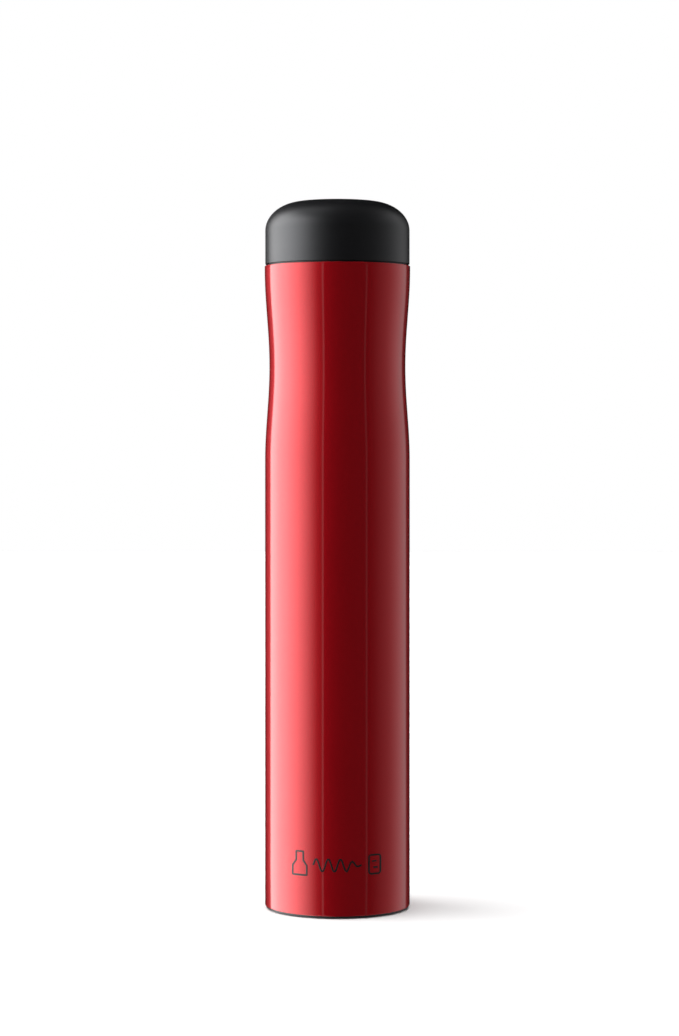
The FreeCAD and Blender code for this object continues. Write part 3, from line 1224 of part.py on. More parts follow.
def main():
    whole_chassis = chassis_whole()
    nodes = {
        "outer_sleeve": outer_sleeve(),
        "battery_cap": battery_cap(),
        "cap_seal": cap_seal(),
        "disc_screw": disc_screw(),
        "top_collar": top_collar(),
        "collar_screws": collar_screws(),
        "base_ring": base_ring(),
        "foot_pad": foot_pad(),
        "base_screws": base_screws(),
        "neck_liner": neck_liner(),
        "lip_cushion": lip_cushion(),
        "cork_tube": cork_tube(),
        "chassis_front": whole_chassis.common(half_space(-1)),
        "chassis_rear": whole_chassis.common(half_space(1)),
        "chassis_screws": chassis_screws(),
        "worm": worm(),
        "worm_hub": worm_hub(),
        "hub_pin": hub_pin(),
        "output_shaft": output_shaft(),
        "output_bearing": output_bearing(),
        "thrust_washer": thrust_washer(),
        "output_carrier": output_carrier(),
        "output_pins": output_pins(),
        "input_carrier": input_carrier(),
        "input_pins": input_pins(),
        "motor_pinion": motor_pinion(),
        "gear_housing": gear_housing(),
        "motor_plate": motor_plate(),
        "gearbox_screws": gearbox_screws(),
        "motor_screws": motor_screws(),
        "motor_can": motor_can(),
        "motor_end_cap": motor_end_cap(),
        "motor_terminals": motor_terminals(),
        "motor_magnets": motor_magnets(),
        "motor_bushes": motor_bushes(),
        "motor_armature": motor_armature(),
        "battery_tray": battery_tray(),
        "battery_cells": battery_cells(),
        "floor_contacts": floor_contacts(),
        "floor_springs": floor_springs(),
        "contact_disc": contact_disc(),
        "disc_contacts": disc_contacts(),
        "disc_springs": disc_springs(),
        "trigger_lever": trigger_lever(),
        "lever_pin": lever_pin(),
        "switch_body": switch_body(),
        "switch_plunger": switch_plunger(),
        "control_board": control_board(),
        "board_parts": board_parts(),
        "motor_leads": motor_leads(),
        "battery_leads": battery_leads(),
        "switch_leads": switch_leads(),
    }
    nodes.update(planet_nodes("output", OUTPUT_PLANETS_BOTTOM, OUTPUT_PLANETS_TOP))
    nodes.update(planet_nodes("input", INPUT_PLANETS_BOTTOM, INPUT_PLANETS_TOP))
    os.makedirs("parts", exist_ok=True)
    for name, made in nodes.items():
        shape = Part.makeCompound(made) if isinstance(made, list) else made
        sound = all(s.isValid() for s in shape.Solids) and shape.Solids
        print(f"{name}: {len(shape.Solids)} solids, {shape.Volume:.1f} mm3{'' if sound else ' NOT SOUND'}")
        shape.exportStep(f"parts/{name}.step")


main()
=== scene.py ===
# %% [markdown]
# # An electric wine opener
# The opener is a slim upright tube: a lacquered red sleeve, a soft black cap that screws on above it, and a
# bore below that is set over a bottle's neck. The design's solids are loaded first, because everything that
# is made here has to fit them.

# %% Load the frame
import json
import math

import bpy
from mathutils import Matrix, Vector


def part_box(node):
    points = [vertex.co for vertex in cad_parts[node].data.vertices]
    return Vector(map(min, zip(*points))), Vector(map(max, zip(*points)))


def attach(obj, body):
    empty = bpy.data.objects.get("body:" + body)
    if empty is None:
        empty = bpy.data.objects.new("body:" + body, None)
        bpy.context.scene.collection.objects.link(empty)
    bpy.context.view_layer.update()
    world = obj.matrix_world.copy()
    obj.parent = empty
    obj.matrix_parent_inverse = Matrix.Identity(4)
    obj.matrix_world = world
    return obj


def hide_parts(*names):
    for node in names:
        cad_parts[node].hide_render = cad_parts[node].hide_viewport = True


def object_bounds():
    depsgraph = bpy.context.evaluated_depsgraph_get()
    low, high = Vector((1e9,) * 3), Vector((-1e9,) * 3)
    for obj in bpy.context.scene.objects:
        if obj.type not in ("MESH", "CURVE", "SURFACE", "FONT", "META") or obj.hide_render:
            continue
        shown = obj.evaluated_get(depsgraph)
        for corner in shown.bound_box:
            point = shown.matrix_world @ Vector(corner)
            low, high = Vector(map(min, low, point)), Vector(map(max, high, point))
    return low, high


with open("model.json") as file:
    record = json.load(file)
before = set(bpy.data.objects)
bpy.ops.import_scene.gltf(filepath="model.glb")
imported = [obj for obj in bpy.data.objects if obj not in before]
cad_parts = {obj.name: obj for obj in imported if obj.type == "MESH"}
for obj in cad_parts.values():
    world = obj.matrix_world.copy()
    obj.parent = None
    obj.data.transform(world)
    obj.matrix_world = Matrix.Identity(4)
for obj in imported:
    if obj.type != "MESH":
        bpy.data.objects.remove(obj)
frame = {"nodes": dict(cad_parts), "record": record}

cad_low, cad_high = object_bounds()
nodes = frame["nodes"]
print("nodes", len(nodes), "height", round(cad_high.z - cad_low.z, 4))

# %% [markdown]
# A few habits keep the work safe. Every operator acts on whatever is selected, and loading leaves the whole
# design selected, so the selection is cleared before each new piece. Sizes are easiest to think of in
# millimetres, and Blender works in metres here, so one small factor turns the one into the other.

# %% Habits
MM = 0.001


def clear_selection():
    """Leaves nothing selected, so that an operator can't reach an older piece."""
    if bpy.context.object and bpy.context.object.mode != "OBJECT":
        bpy.ops.object.mode_set(mode="OBJECT")
    bpy.ops.object.select_all(action="DESELECT")


def work_on(piece):
    """Makes one piece the only selected one."""
    clear_selection()
    piece.select_set(True)
    bpy.context.view_layer.objects.active = piece


def named(name):
    """Names the piece that an operator has just added."""
    piece = bpy.context.object
    piece.name = name
    piece.data.name = name
    return piece


def report(piece):
    """Prints a piece's size in millimetres and how many triangles it has."""
    piece.data.calc_loop_triangles()
    size = [round(side / MM, 2) for side in piece.dimensions]
    print(piece.name, size, len(piece.data.loop_triangles), "triangles")


def joined(pieces, name):
    """Makes several pieces into one."""
    clear_selection()
    for piece in pieces:
        piece.select_set(True)
    bpy.context.view_layer.objects.active = pieces[0]
    bpy.ops.object.join()
    whole = named(name)
    report(whole)
    return whole


# %% [markdown]
# Most of this object's shells are turned: one outline goes once round an axis. They could be built from
# cylinders that are scaled ring by ring, but then each ring is a guess. A lathe is more honest: one vertex is
# extruded along the outline, the outline is spun, and the seam is merged. The outline is a short list of
# corners, and the round stretches between them come from an arc's or an ellipse's own formula.

# %% The lathe
TURN_STEPS = 144
MERGE_WITHIN = 0.002         # vertices closer than this many millimetres are one


def bow(centre, half_width, half_height, start, end, steps):
    """Points along an arc or ellipse in the outline's plane, from one angle to another in degrees."""
    angles = [math.radians(start + (end - start) * k / steps) for k in range(steps + 1)]
    return [(centre[0] + half_width * math.cos(a), centre[1] + half_height * math.sin(a)) for a in angles]


def chain(name, points):
    """A new piece, open for editing: one vertex extruded along (across, height) points in millimetres."""
    clear_selection()
    bpy.ops.mesh.primitive_plane_add(size=MM)
    piece = named(name)
    bpy.ops.object.mode_set(mode="EDIT")
    bpy.ops.mesh.merge(type="CENTER")
    bpy.ops.transform.translate(value=(points[0][0] * MM, 0, points[0][1] * MM))
    for here, there in zip(points, points[1:]):
        step = ((there[0] - here[0]) * MM, 0, (there[1] - here[1]) * MM)
        bpy.ops.mesh.extrude_region_move(TRANSFORM_OT_translate={"value": step})
    bpy.ops.mesh.select_all(action="SELECT")
    return piece


def turn(name, outline, steps=TURN_STEPS, sharp=38):
    """A turned piece from an outline of (radius, height) points; edges above the sharp angle stay sharp."""
    piece = chain(name, outline)
    bpy.ops.mesh.spin(steps=steps, angle=2 * math.pi, center=(0, 0, 0), axis=(0, 0, 1))
    bpy.ops.mesh.select_all(action="SELECT")
    bpy.ops.mesh.remove_doubles(threshold=MERGE_WITHIN * MM)
    bpy.ops.mesh.normals_make_consistent(inside=False)
    bpy.ops.object.mode_set(mode="OBJECT")
    bpy.ops.object.shade_smooth_by_angle(angle=math.radians(sharp))
    report(piece)
    return piece


# %% [markdown]
# ## The sleeve
# On the real opener the sleeve is a thin drawn tube, lacquered in a clear red over a bright metallic ground.
# It is straight for two thirds of its height, draws in to one soft waist and flares a little at its rim. Half
# a wave of a cosine gives that waist its even swell with no corner where it starts. The rim and the foot are
# rolled over, because a sheared edge would cut a hand and would catch no light.

# %% The sleeve's shape
sleeve_low, sleeve_high = (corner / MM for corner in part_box("outer_sleeve"))
RIM_RADIUS = sleeve_high.x
RIM_FLARE = 0.15
STRAIGHT_RADIUS = RIM_RADIUS - RIM_FLARE
WAIST_DEPTH = 1.5
WAIST_HEIGHT = cad_high.z / MM - 57.6
WAIST_BELOW, WAIST_ABOVE = 32.5, 34.5
SLEEVE_WALL = 0.8
EDGE_ROLL = 0.32


def sleeve_radius(height):
    """The sleeve's outer radius at a height."""
    above = height > WAIST_HEIGHT
    full = RIM_RADIUS if above else STRAIGHT_RADIUS
    reach = WAIST_ABOVE if above else WAIST_BELOW
    share = min(1, abs(height - WAIST_HEIGHT) / reach)
    return full - (full - STRAIGHT_RADIUS + WAIST_DEPTH) * (1 + math.cos(math.pi * share)) / 2


def sleeve_side(inset, low, high, steps):
    """One side of the sleeve's wall, with its rings packed into the waist."""
    bend = WAIST_HEIGHT - WAIST_BELOW
    straight = [low + (bend - low) * k / 12 for k in range(12)]
    curved = [bend + (high - bend) * k / steps for k in range(steps + 1)]
    return [(sleeve_radius(z) - inset, z) for z in straight + curved]


rim_side = sleeve_radius(sleeve_high.z - EDGE_ROLL)
outline = sleeve_side(0, sleeve_low.z + EDGE_ROLL, sleeve_high.z - EDGE_ROLL, 56)
outline += bow((rim_side - EDGE_ROLL, sleeve_high.z - EDGE_ROLL), EDGE_ROLL, EDGE_ROLL, 15, 90, 5)
outline += bow((rim_side - SLEEVE_WALL + EDGE_ROLL, sleeve_high.z - EDGE_ROLL),
               EDGE_ROLL, EDGE_ROLL, 90, 165, 5)
outline += reversed(sleeve_side(SLEEVE_WALL, sleeve_low.z + EDGE_ROLL, sleeve_high.z - EDGE_ROLL, 28))
outline += bow((STRAIGHT_RADIUS - SLEEVE_WALL + EDGE_ROLL, sleeve_low.z + EDGE_ROLL),
               EDGE_ROLL, EDGE_ROLL, 195, 270, 5)
outline += bow((STRAIGHT_RADIUS - EDGE_ROLL, sleeve_low.z + EDGE_ROLL), EDGE_ROLL, EDGE_ROLL, 270, 345, 5)
outline.append(outline[0])
sleeve = turn("lacquered_sleeve", outline)
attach(sleeve, "housing")
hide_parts("outer_sleeve")

# %% [markdown]
# ## The cap
# The cap is one moulding: a domed skirt outside, and inside it a spigot with three thread lugs that run in the
# collar's grooves. Its shoulder is a quarter of an ellipse, wider than it is high, which is what makes it look
# pressed down rather than round. Skirt and spigot are one outline on the lathe, with a small chamfer at the
# lower edge, as the real moulding has to leave its tool.

# %% The cap's shape
cap_low, cap_high = (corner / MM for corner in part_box("battery_cap"))
CAP_RADIUS = cap_high.x
CAP_WALL = 2.2
SHOULDER_ACROSS, SHOULDER_DOWN = 13.0, 10.4
SPIGOT_RADIUS, SPIGOT_WALL = 21.2, 1.8
SKIRT_HEIGHT = 21.7
CAP_EDGE = cap_high.z - SKIRT_HEIGHT
WEB_TOP = CAP_EDGE + 1.6
CHAMFER = 0.3
DRIP_EDGE = 0.42             # a thin lip that hides the collar in the seam
CROWN_RISE = 0.35
BOSS_RADIUS, BOSS_DEPTH = 4.0, 1.4
PILOT_RADIUS, PILOT_DEPTH = 1.1, 2.3

crown_radius = CAP_RADIUS - SHOULDER_ACROSS
crown = [(crown_radius * k / 8, cap_high.z - CROWN_RISE * (k / 8) ** 2) for k in range(8)]
ceiling = cap_high.z - CAP_WALL
outline = crown
outline += reversed(bow((crown_radius, cap_high.z - SHOULDER_DOWN), SHOULDER_ACROSS,
                        SHOULDER_DOWN - CROWN_RISE, 0, 90, 28))
outline += [(CAP_RADIUS, CAP_EDGE + 5), (CAP_RADIUS, CAP_EDGE - DRIP_EDGE + CHAMFER)]
outline += [(CAP_RADIUS - 0.08, CAP_EDGE - DRIP_EDGE + 0.1),
            (CAP_RADIUS - CHAMFER, CAP_EDGE - DRIP_EDGE)]
outline += [(CAP_RADIUS - 0.6, CAP_EDGE - DRIP_EDGE + 0.05), (CAP_RADIUS - 0.68, CAP_EDGE)]
outline += [(SPIGOT_RADIUS, CAP_EDGE), (SPIGOT_RADIUS, cap_low.z + 0.5),
            (SPIGOT_RADIUS - 0.5, cap_low.z)]
outline += [(SPIGOT_RADIUS - SPIGOT_WALL + 0.4, cap_low.z),
            (SPIGOT_RADIUS - SPIGOT_WALL, cap_low.z + 0.4)]
outline += [(SPIGOT_RADIUS - SPIGOT_WALL, WEB_TOP), (CAP_RADIUS - CAP_WALL, WEB_TOP)]
outline += bow((crown_radius, cap_high.z - SHOULDER_DOWN), SHOULDER_ACROSS - CAP_WALL,
               SHOULDER_DOWN - CAP_WALL, 0, 90, 20)
outline += [(BOSS_RADIUS, ceiling), (BOSS_RADIUS, ceiling - BOSS_DEPTH),
            (PILOT_RADIUS, ceiling - BOSS_DEPTH)]
outline += [(PILOT_RADIUS, ceiling - BOSS_DEPTH + PILOT_DEPTH), (0, ceiling - BOSS_DEPTH + PILOT_DEPTH)]
cap = turn("soft_touch_cap", outline)
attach(cap, "cap")
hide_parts("battery_cap")

# %% [markdown]
# The cap is held by three short thread lugs on its spigot. A lug is a small ridge that climbs as it goes round,
# so its end face is extruded in small steps, and each step is turned a little and lifted a little. The climb
# comes from the thread's lead, so the lugs fit the grooves in the collar.

# %% The cap's thread
LUG_ROOT, LUG_TIP, LUG_HEIGHT = 0.9, 0.45, 1.0
LUG_BITE = 0.2               # how far a lug reaches into the spigot's wall
LUG_START = 215.5
LUG_TURN = 50
THREAD_LEAD = 10.0
LUG_STEPS = 14


def thread_lug(start_angle):
    """One lug: a ridge's end face, carried round the axis and up along the thread."""
    inside, outside = SPIGOT_RADIUS - LUG_BITE, SPIGOT_RADIUS + LUG_HEIGHT
    corners = [(inside, LUG_START - LUG_ROOT), (outside, LUG_START - LUG_TIP),
               (outside, LUG_START + LUG_TIP), (inside, LUG_START + LUG_ROOT)]
    lug = chain("thread_lug", corners + corners[:1])
    bpy.ops.mesh.remove_doubles(threshold=MERGE_WITHIN * MM)
    bpy.ops.mesh.edge_face_add()
    step_turn = math.radians(LUG_TURN / LUG_STEPS)
    step_rise = THREAD_LEAD * LUG_TURN / 360 / LUG_STEPS
    for step in range(LUG_STEPS):
        bpy.ops.mesh.extrude_region_move(TRANSFORM_OT_translate={"value": (0, 0, step_rise * MM)})
        bpy.ops.transform.rotate(value=-step_turn, orient_axis="Z", center_override=(0, 0, 0))
    bpy.ops.mesh.select_all(action="SELECT")
    bpy.ops.mesh.normals_make_consistent(inside=False)
    bpy.ops.transform.rotate(value=-math.radians(start_angle), orient_axis="Z", center_override=(0, 0, 0))
    bpy.ops.object.mode_set(mode="OBJECT")
    return lug


cap_thread = joined([thread_lug(angle) for angle in (0, 120, 240)], "cap_thread_lugs")
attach(cap_thread, "cap")

# %% [markdown]
# ## The print
# The sleeve carries one small dark print low on its front. Here it is three plain signs that say what the
# opener works on: a bottle's neck, a worm and a cork. Each sign is a line, so a vertex is extruded along it,
# the chain becomes a curve, and the curve's bevel gives the line its width. The line is then pressed flat and
# laid on the sleeve's round face, where it stands proud by a hair, as screen-printed ink does.

# %% The print's lines
INK_WIDTH = 0.62
INK_RISE = 0.03


def in_short_steps(points, step=0.4):
    """The same line with more points, so that it can follow the sleeve's round face."""
    fine = points[:1]
    for here, there in zip(points, points[1:]):
        count = max(1, math.ceil(math.dist(here, there) / step))
        fine += [(here[0] + (there[0] - here[0]) * k / count,
                  here[1] + (there[1] - here[1]) * k / count) for k in range(1, count + 1)]
    return fine


def drawn_line(name, corners, closed=False):
    """A line of ink through (across, height) corners in millimetres, as a flattened round rod."""
    points = in_short_steps(corners + corners[:1] if closed else corners)
    chain(name, points)
    bpy.ops.mesh.remove_doubles(threshold=MERGE_WITHIN * MM)
    bpy.ops.object.mode_set(mode="OBJECT")
    bpy.ops.object.convert(target="CURVE")
    ink = bpy.context.object
    ink.data.bevel_depth = INK_WIDTH / 2 * MM
    ink.data.bevel_resolution = 2
    ink.data.use_fill_caps = True
    bpy.ops.object.convert(target="MESH")
    return bpy.context.object


def signs():
    """The three signs as lists of points, with whether each line closes."""
    neck = [(-15.2, 14.6), (-15.2, 17.8), (-14.0, 19.6), (-14.0, 22.6), (-11.6, 22.6), (-11.6, 19.6),
            (-10.4, 17.8), (-10.4, 14.6)]
    coils = 4
    steps = 14 * coils
    wave = [(-8.2 + 16.4 * k / steps, 18.2 + 2.1 * math.sin(2 * math.pi * coils * k / steps) *
             min(1, 3.2 * (1 - k / steps))) for k in range(steps + 1)]
    cork = bow((11.5, 20.6), 0.8, 0.8, 180, 90, 4) + bow((13.8, 20.6), 0.8, 0.8, 90, 0, 4)
    cork += bow((13.8, 15.8), 0.8, 0.8, 0, -90, 4) + bow((11.5, 15.8), 0.8, 0.8, 270, 180, 4)
    grain = [(11.7, 19.3), (13.3, 19.3)]
    short_grain = [(12.2, 17.2), (13.7, 17.2)]
    return [(neck, True), (wave, False), (cork, True), (grain, False), (short_grain, False)]


signs_print = joined([drawn_line("stroke", points, closed) for points, closed in signs()], "printed_signs")
for vertex in signs_print.data.vertices:
    across, depth = vertex.co.x, vertex.co.y
    face = math.sqrt((STRAIGHT_RADIUS * MM) ** 2 - across ** 2)
    vertex.co.y = -face + depth * 2 * INK_RISE / INK_WIDTH
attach(signs_print, "housing")

# %% [markdown]
# ## The foot
# Below the sleeve there is a moulded foot with a funnel that guides the bottle, and let into it the soft ring
# that the opener stands on. Both are turned. The funnel's mouth is rounded, because the glass slides over it,
# and the soft ring has three fine grooves that let it grip a wet worktop.

# %% The foot's shapes
foot_low, foot_high = (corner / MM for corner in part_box("base_ring"))
pad_low, pad_high = (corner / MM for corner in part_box("foot_pad"))
PAD_OUTER = pad_high.x
NECK_RADIUS = 16.6
PAD_INNER = NECK_RADIUS + 2.1
GROOVES = 3


def grooved_pad(inner):
    """The soft ring's outline: rounded edges and fine grooves in its lower face."""
    low, high, edge = pad_low.z, pad_high.z, 0.25
    pitch = (PAD_OUTER - inner) / (GROOVES + 1)
    points = [(inner, high), (inner, low + edge), (inner + edge, low)]
    for k in range(1, GROOVES + 1):
        middle = inner + pitch * k
        points += [(middle - 0.22, low), (middle - 0.1, low + 0.2),
                   (middle + 0.1, low + 0.2), (middle + 0.22, low)]
    points += [(PAD_OUTER - edge, low), (PAD_OUTER, low + edge), (PAD_OUTER, high), (inner, high)]
    return points


pad = turn("grooved_foot_pad", grooved_pad(PAD_INNER))
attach(pad, "housing")
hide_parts("foot_pad")

# %% [markdown]
# The moulded foot has a face that holds the pad, a ridge between the bore's liner and the chassis, and a tall
# rim inside the sleeve. Its screws lie under the pad. On the lathe it is one closed outline, and the funnel and
# the outer lip, which are the two edges that show, are given a real round.

# %% The moulded foot
CHASSIS_OUTER, CHASSIS_INNER = 22.3, 20.7
LINER_OUTER = NECK_RADIUS + 1.8
FOOT_FLOOR = 4.0
RIDGE_HEIGHT = 3.0
FUNNEL_FLARE, FUNNEL_HEIGHT = 1.4, 1.8
SLEEVE_GAP = 0.02
FIT = 0.1
LIP_ROUND = 0.2
FUNNEL_ROUND = 0.4
funnel = NECK_RADIUS + FUNNEL_FLARE
lip = foot_high.x
spigot = sleeve_high.x - RIM_FLARE - SLEEVE_WALL - FIT
face = foot_low.z
outline = [(NECK_RADIUS, FOOT_FLOOR), (NECK_RADIUS, face + FUNNEL_HEIGHT)]
outline += [(funnel - 0.12, face + FUNNEL_ROUND), (funnel + 0.02, face + 0.12),
            (funnel + 0.2, face)]
outline += [(PAD_INNER - FIT, face), (PAD_INNER - FIT, pad_high.z), (PAD_OUTER + FIT, pad_high.z),
            (PAD_OUTER + FIT, face)]
outline += bow((lip - LIP_ROUND, face + LIP_ROUND), LIP_ROUND, LIP_ROUND, 270, 360, 4)
outline += [(lip, sleeve_low.z - SLEEVE_GAP), (spigot, sleeve_low.z - SLEEVE_GAP), (spigot, foot_high.z - 0.3),
            (spigot - 0.3, foot_high.z), (CHASSIS_OUTER + FIT, foot_high.z),
            (CHASSIS_OUTER + FIT, FOOT_FLOOR),
            (CHASSIS_INNER - FIT, FOOT_FLOOR), (CHASSIS_INNER - FIT, FOOT_FLOOR + RIDGE_HEIGHT),
            (LINER_OUTER + FIT, FOOT_FLOOR + RIDGE_HEIGHT), (LINER_OUTER + FIT, FOOT_FLOOR),
            (NECK_RADIUS, FOOT_FLOOR)]
foot = turn("moulded_foot", outline)
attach(foot, "housing")
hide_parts("base_ring")

# %% [markdown]
# ## The cells
# Four cells stand under the cap, two head up and two head down. A real cell is a steel can in a printed
# jacket. The jacket's shrunk edge, the bare steel at both ends and the raised head are what tell it from a
# plain rod. One cell is turned and its faces are given to the jacket, its band or the bare steel by their
# place. Then it is copied, turned over where it stands head down, and moved to its corner.

# %% The cells' shape
CELL_RADIUS = 7.1
CELL_LENGTH = 50.5
HEAD_RISE = 1.2
BAND_LENGTH = 13.0
cells_low, cells_high = (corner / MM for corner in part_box("battery_cells"))
CELL_OFFSET = cells_high.x - CELL_RADIUS
cell_foot = cells_high.z - CELL_LENGTH


def one_cell():
    """A cell on the body's axis, standing on its flat end."""
    shoulder = cell_foot + CELL_LENGTH - HEAD_RISE
    roll = 0.35
    skirt = cell_foot + 0.12
    points = [(0, cell_foot), (CELL_RADIUS - 2.5, cell_foot), (CELL_RADIUS - 2.2, cell_foot + 0.3),
              (CELL_RADIUS - 1.2, cell_foot + 0.3), (CELL_RADIUS - 1.1, skirt)]
    points += bow((CELL_RADIUS - roll, skirt + roll), roll, roll, 270, 360, 4)
    points += [(CELL_RADIUS, shoulder - BAND_LENGTH)]
    points += bow((CELL_RADIUS - roll, shoulder - roll), roll, roll, 0, 90, 4)
    points += [(CELL_RADIUS - 1.1, shoulder), (CELL_RADIUS - 1.2, shoulder - 0.2), (3.6, shoulder - 0.2),
               (3.3, shoulder), (2.75, shoulder)]
    points += bow((2.45, shoulder + HEAD_RISE - 0.3), 0.3, 0.3, 0, 90, 3) + [(0, shoulder + HEAD_RISE)]
    return turn("cell", points, steps=64)


def cell_faces(cell):
    """Gives each face to the jacket (0), the band (1) or the bare steel (2)."""
    band_foot = cell_foot + CELL_LENGTH - HEAD_RISE - BAND_LENGTH
    for face in cell.data.polygons:
        middle = face.center / MM
        on_jacket = math.hypot(middle.x, middle.y) > CELL_RADIUS - 1.12
        face.material_index = (1 if middle.z > band_foot else 0) if on_jacket else 2


first_cell = one_cell()
cell_slots = [bpy.data.materials.new(name) for name in ("cell_jacket", "cell_band", "cell_steel")]
for made in cell_slots:
    first_cell.data.materials.append(made)
cell_faces(first_cell)
corners = [(1, 1, True), (-1, 1, False), (-1, -1, True), (1, -1, False)]
cells = []
for across, depth, head_up in corners:
    work_on(first_cell)
    bpy.ops.object.duplicate()
    cell = bpy.context.object
    bpy.ops.object.mode_set(mode="EDIT")
    bpy.ops.mesh.select_all(action="SELECT")
    if not head_up:
        bpy.ops.transform.rotate(value=math.pi, orient_axis="X", center_override=(0, 0, 0))
        bpy.ops.transform.translate(value=(0, 0, (cells_low.z + cells_high.z) * MM))
    bpy.ops.transform.translate(value=(across * CELL_OFFSET * MM, depth * CELL_OFFSET * MM, 0))
    bpy.ops.object.mode_set(mode="OBJECT")
    cells.append(cell)
work_on(first_cell)
bpy.ops.object.delete()
jacketed_cells = joined(cells, "jacketed_cells")
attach(jacketed_cells, "housing")
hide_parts("battery_cells")

# %% [markdown]
# ## Finishes
# A finish is a material that reads the piece's own Object coordinates, so a pattern stays where it is when
# the piece moves. Three small helpers do the wiring: one makes a shader with its plain values, one adds
# a noise at a real size in millimetres, and one turns a noise into fine relief.

# %% Helpers for finishes
def finish(name, colour, roughness, metallic=0.0, **more):
    """A new material with its shader's plain values. Returns the material and its shader node."""
    made = bpy.data.materials.new(name)
    made.use_nodes = True
    shader = made.node_tree.nodes["Principled BSDF"]
    shader.inputs["Base Color"].default_value = (*colour, 1)
    shader.inputs["Roughness"].default_value = roughness
    shader.inputs["Metallic"].default_value = metallic
    for socket, value in more.items():
        shader.inputs[socket.replace("_", " ")].default_value = value
    return made, shader


def add(made, kind, **settings):
    """A new node with these settings; a name that isn't a setting is an input's name."""
    node = made.node_tree.nodes.new(kind)
    for key, value in settings.items():
        if hasattr(node, key):
            setattr(node, key, value)
        else:
            node.inputs[key].default_value = value
    return node


def wire(made, source, target):
    """Joins an output to an input."""
    made.node_tree.links.new(source, target)


def place(made, stretch=(1, 1, 1)):
    """The piece's own coordinates, stretched by a factor along each axis."""
    coordinates = add(made, "ShaderNodeTexCoord")
    mapping = add(made, "ShaderNodeMapping", Scale=stretch)
    wire(made, coordinates.outputs["Object"], mapping.inputs["Vector"])
    return mapping.outputs["Vector"]


def noise(made, size_mm, detail=3.0, stretch=(1, 1, 1)):
    """Noise whose features are about this many millimetres across."""
    node = add(made, "ShaderNodeTexNoise", Scale=1 / (size_mm * MM), Detail=detail)
    wire(made, place(made, stretch), node.inputs["Vector"])
    return node.outputs["Fac"]


def relief(made, shader, height, depth_mm, socket="Normal"):
    """Turns a height into fine relief of this depth."""
    bump = add(made, "ShaderNodeBump", Strength=1.0, Distance=depth_mm * MM)
    wire(made, height, bump.inputs["Height"])
    wire(made, bump.outputs["Normal"], shader.inputs[socket])


def spread(made, source, low, high, target):
    """Lets a value between 0 and 1 vary a shader's input between two limits."""
    ranged = add(made, "ShaderNodeMapRange")
    ranged.inputs["To Min"].default_value = low
    ranged.inputs["To Max"].default_value = high
    wire(made, source, ranged.inputs["Value"])
    wire(made, ranged.outputs["Result"], target)


def tint(made, source, dark, light, target):
    """Lets a value between 0 and 1 vary a colour between two shades, mostly within its middle range."""
    ramp = add(made, "ShaderNodeValToRGB")
    ramp.color_ramp.elements[0].position = 0.3
    ramp.color_ramp.elements[1].position = 0.7
    ramp.color_ramp.elements[0].color = (*dark, 1)
    ramp.color_ramp.elements[1].color = (*light, 1)
    wire(made, source, ramp.inputs["Fac"])
    wire(made, ramp.outputs["Color"], target)


# %% [markdown]
# The sleeve's finish is a candy lacquer: bright ground, clear red, clear gloss on top. A plain red paint could
# stand for it, but its lights would stay white and its darks flat. Here the ground is partly metallic, so the
# reflections turn red in it, and the coat above adds thin clean lights. Fine flake varies the red.

# %% The sleeve's lacquer
def candy_lacquer():
    """Clear red over a bright metallic ground, with fine flake below and a trace of ripple in the clear coat."""
    made, shader = finish("candy_lacquer", (0.46, 0.003, 0.008), 0.46, 0.65, Coat_Weight=1.0,
                          Specular_IOR_Level=0.08, Coat_Roughness=0.03, Coat_IOR=1.5)
    flake = noise(made, 0.12, 1.0)
    tint(made, flake, (0.43, 0.003, 0.008), (0.50, 0.006, 0.013), shader.inputs["Base Color"])
    spread(made, noise(made, 9.0), 0.45, 0.51, shader.inputs["Roughness"])
    relief(made, shader, flake, 0.006)
    relief(made, shader, noise(made, 2.4, 1.0), 0.0015, socket="Coat Normal")
    return made


candy_lacquer_finish = candy_lacquer()
sleeve.data.materials.append(candy_lacquer_finish)
print(candy_lacquer_finish.name, "on", sleeve.name)

# %% [markdown]
# The cap has a soft-touch coating, a rubbery paint that scatters light broadly and shows a fine tooth close
# up. It is not a plain matt black: where hands polish it, it is a little smoother, and a slow noise does that.

# %% The cap's coating
def soft_touch():
    """A soft black coating with a fine even tooth, a little polished where hands hold it."""
    made, shader = finish("soft_touch_coating", (0.007, 0.007, 0.0085), 0.36, Specular_IOR_Level=0.7,
                          Specular_Tint=(0.96, 0.97, 1.0, 1))
    spread(made, noise(made, 14.0), 0.34, 0.42, shader.inputs["Roughness"])
    relief(made, shader, noise(made, 0.18, 2.0), 0.010)
    return made


soft_touch_finish = soft_touch()
cap.data.materials.append(soft_touch_finish)
cap_thread.data.materials.append(soft_touch_finish)
print(soft_touch_finish.name, "on", cap.name, "and", cap_thread.name)

# %% [markdown]
# ## Plastics and rubber
# Moulded plastic is never one even colour. Its surface has a fine tooth from the tool, its gloss varies a
# little where the melt cooled at different speeds, and its colour drifts by a few percent. One function makes
# all of them, and the colour, gloss and tooth tell a chassis from a gear or a rubber ring.

# %% Moulded plastics
def moulded(name, colour, roughness, tooth_mm=0.22, depth_mm=0.004, **more):
    """A moulded plastic or rubber."""
    made, shader = finish(name, colour, roughness, **more)
    dark = [0.84 * channel for channel in colour]
    light = [1.16 * channel for channel in colour]
    tint(made, noise(made, 5.0, 2.0), dark, light, shader.inputs["Base Color"])
    spread(made, noise(made, 9.0), roughness - 0.05, roughness + 0.05, shader.inputs["Roughness"])
    relief(made, shader, noise(made, tooth_mm, 2.0), depth_mm)
    return made


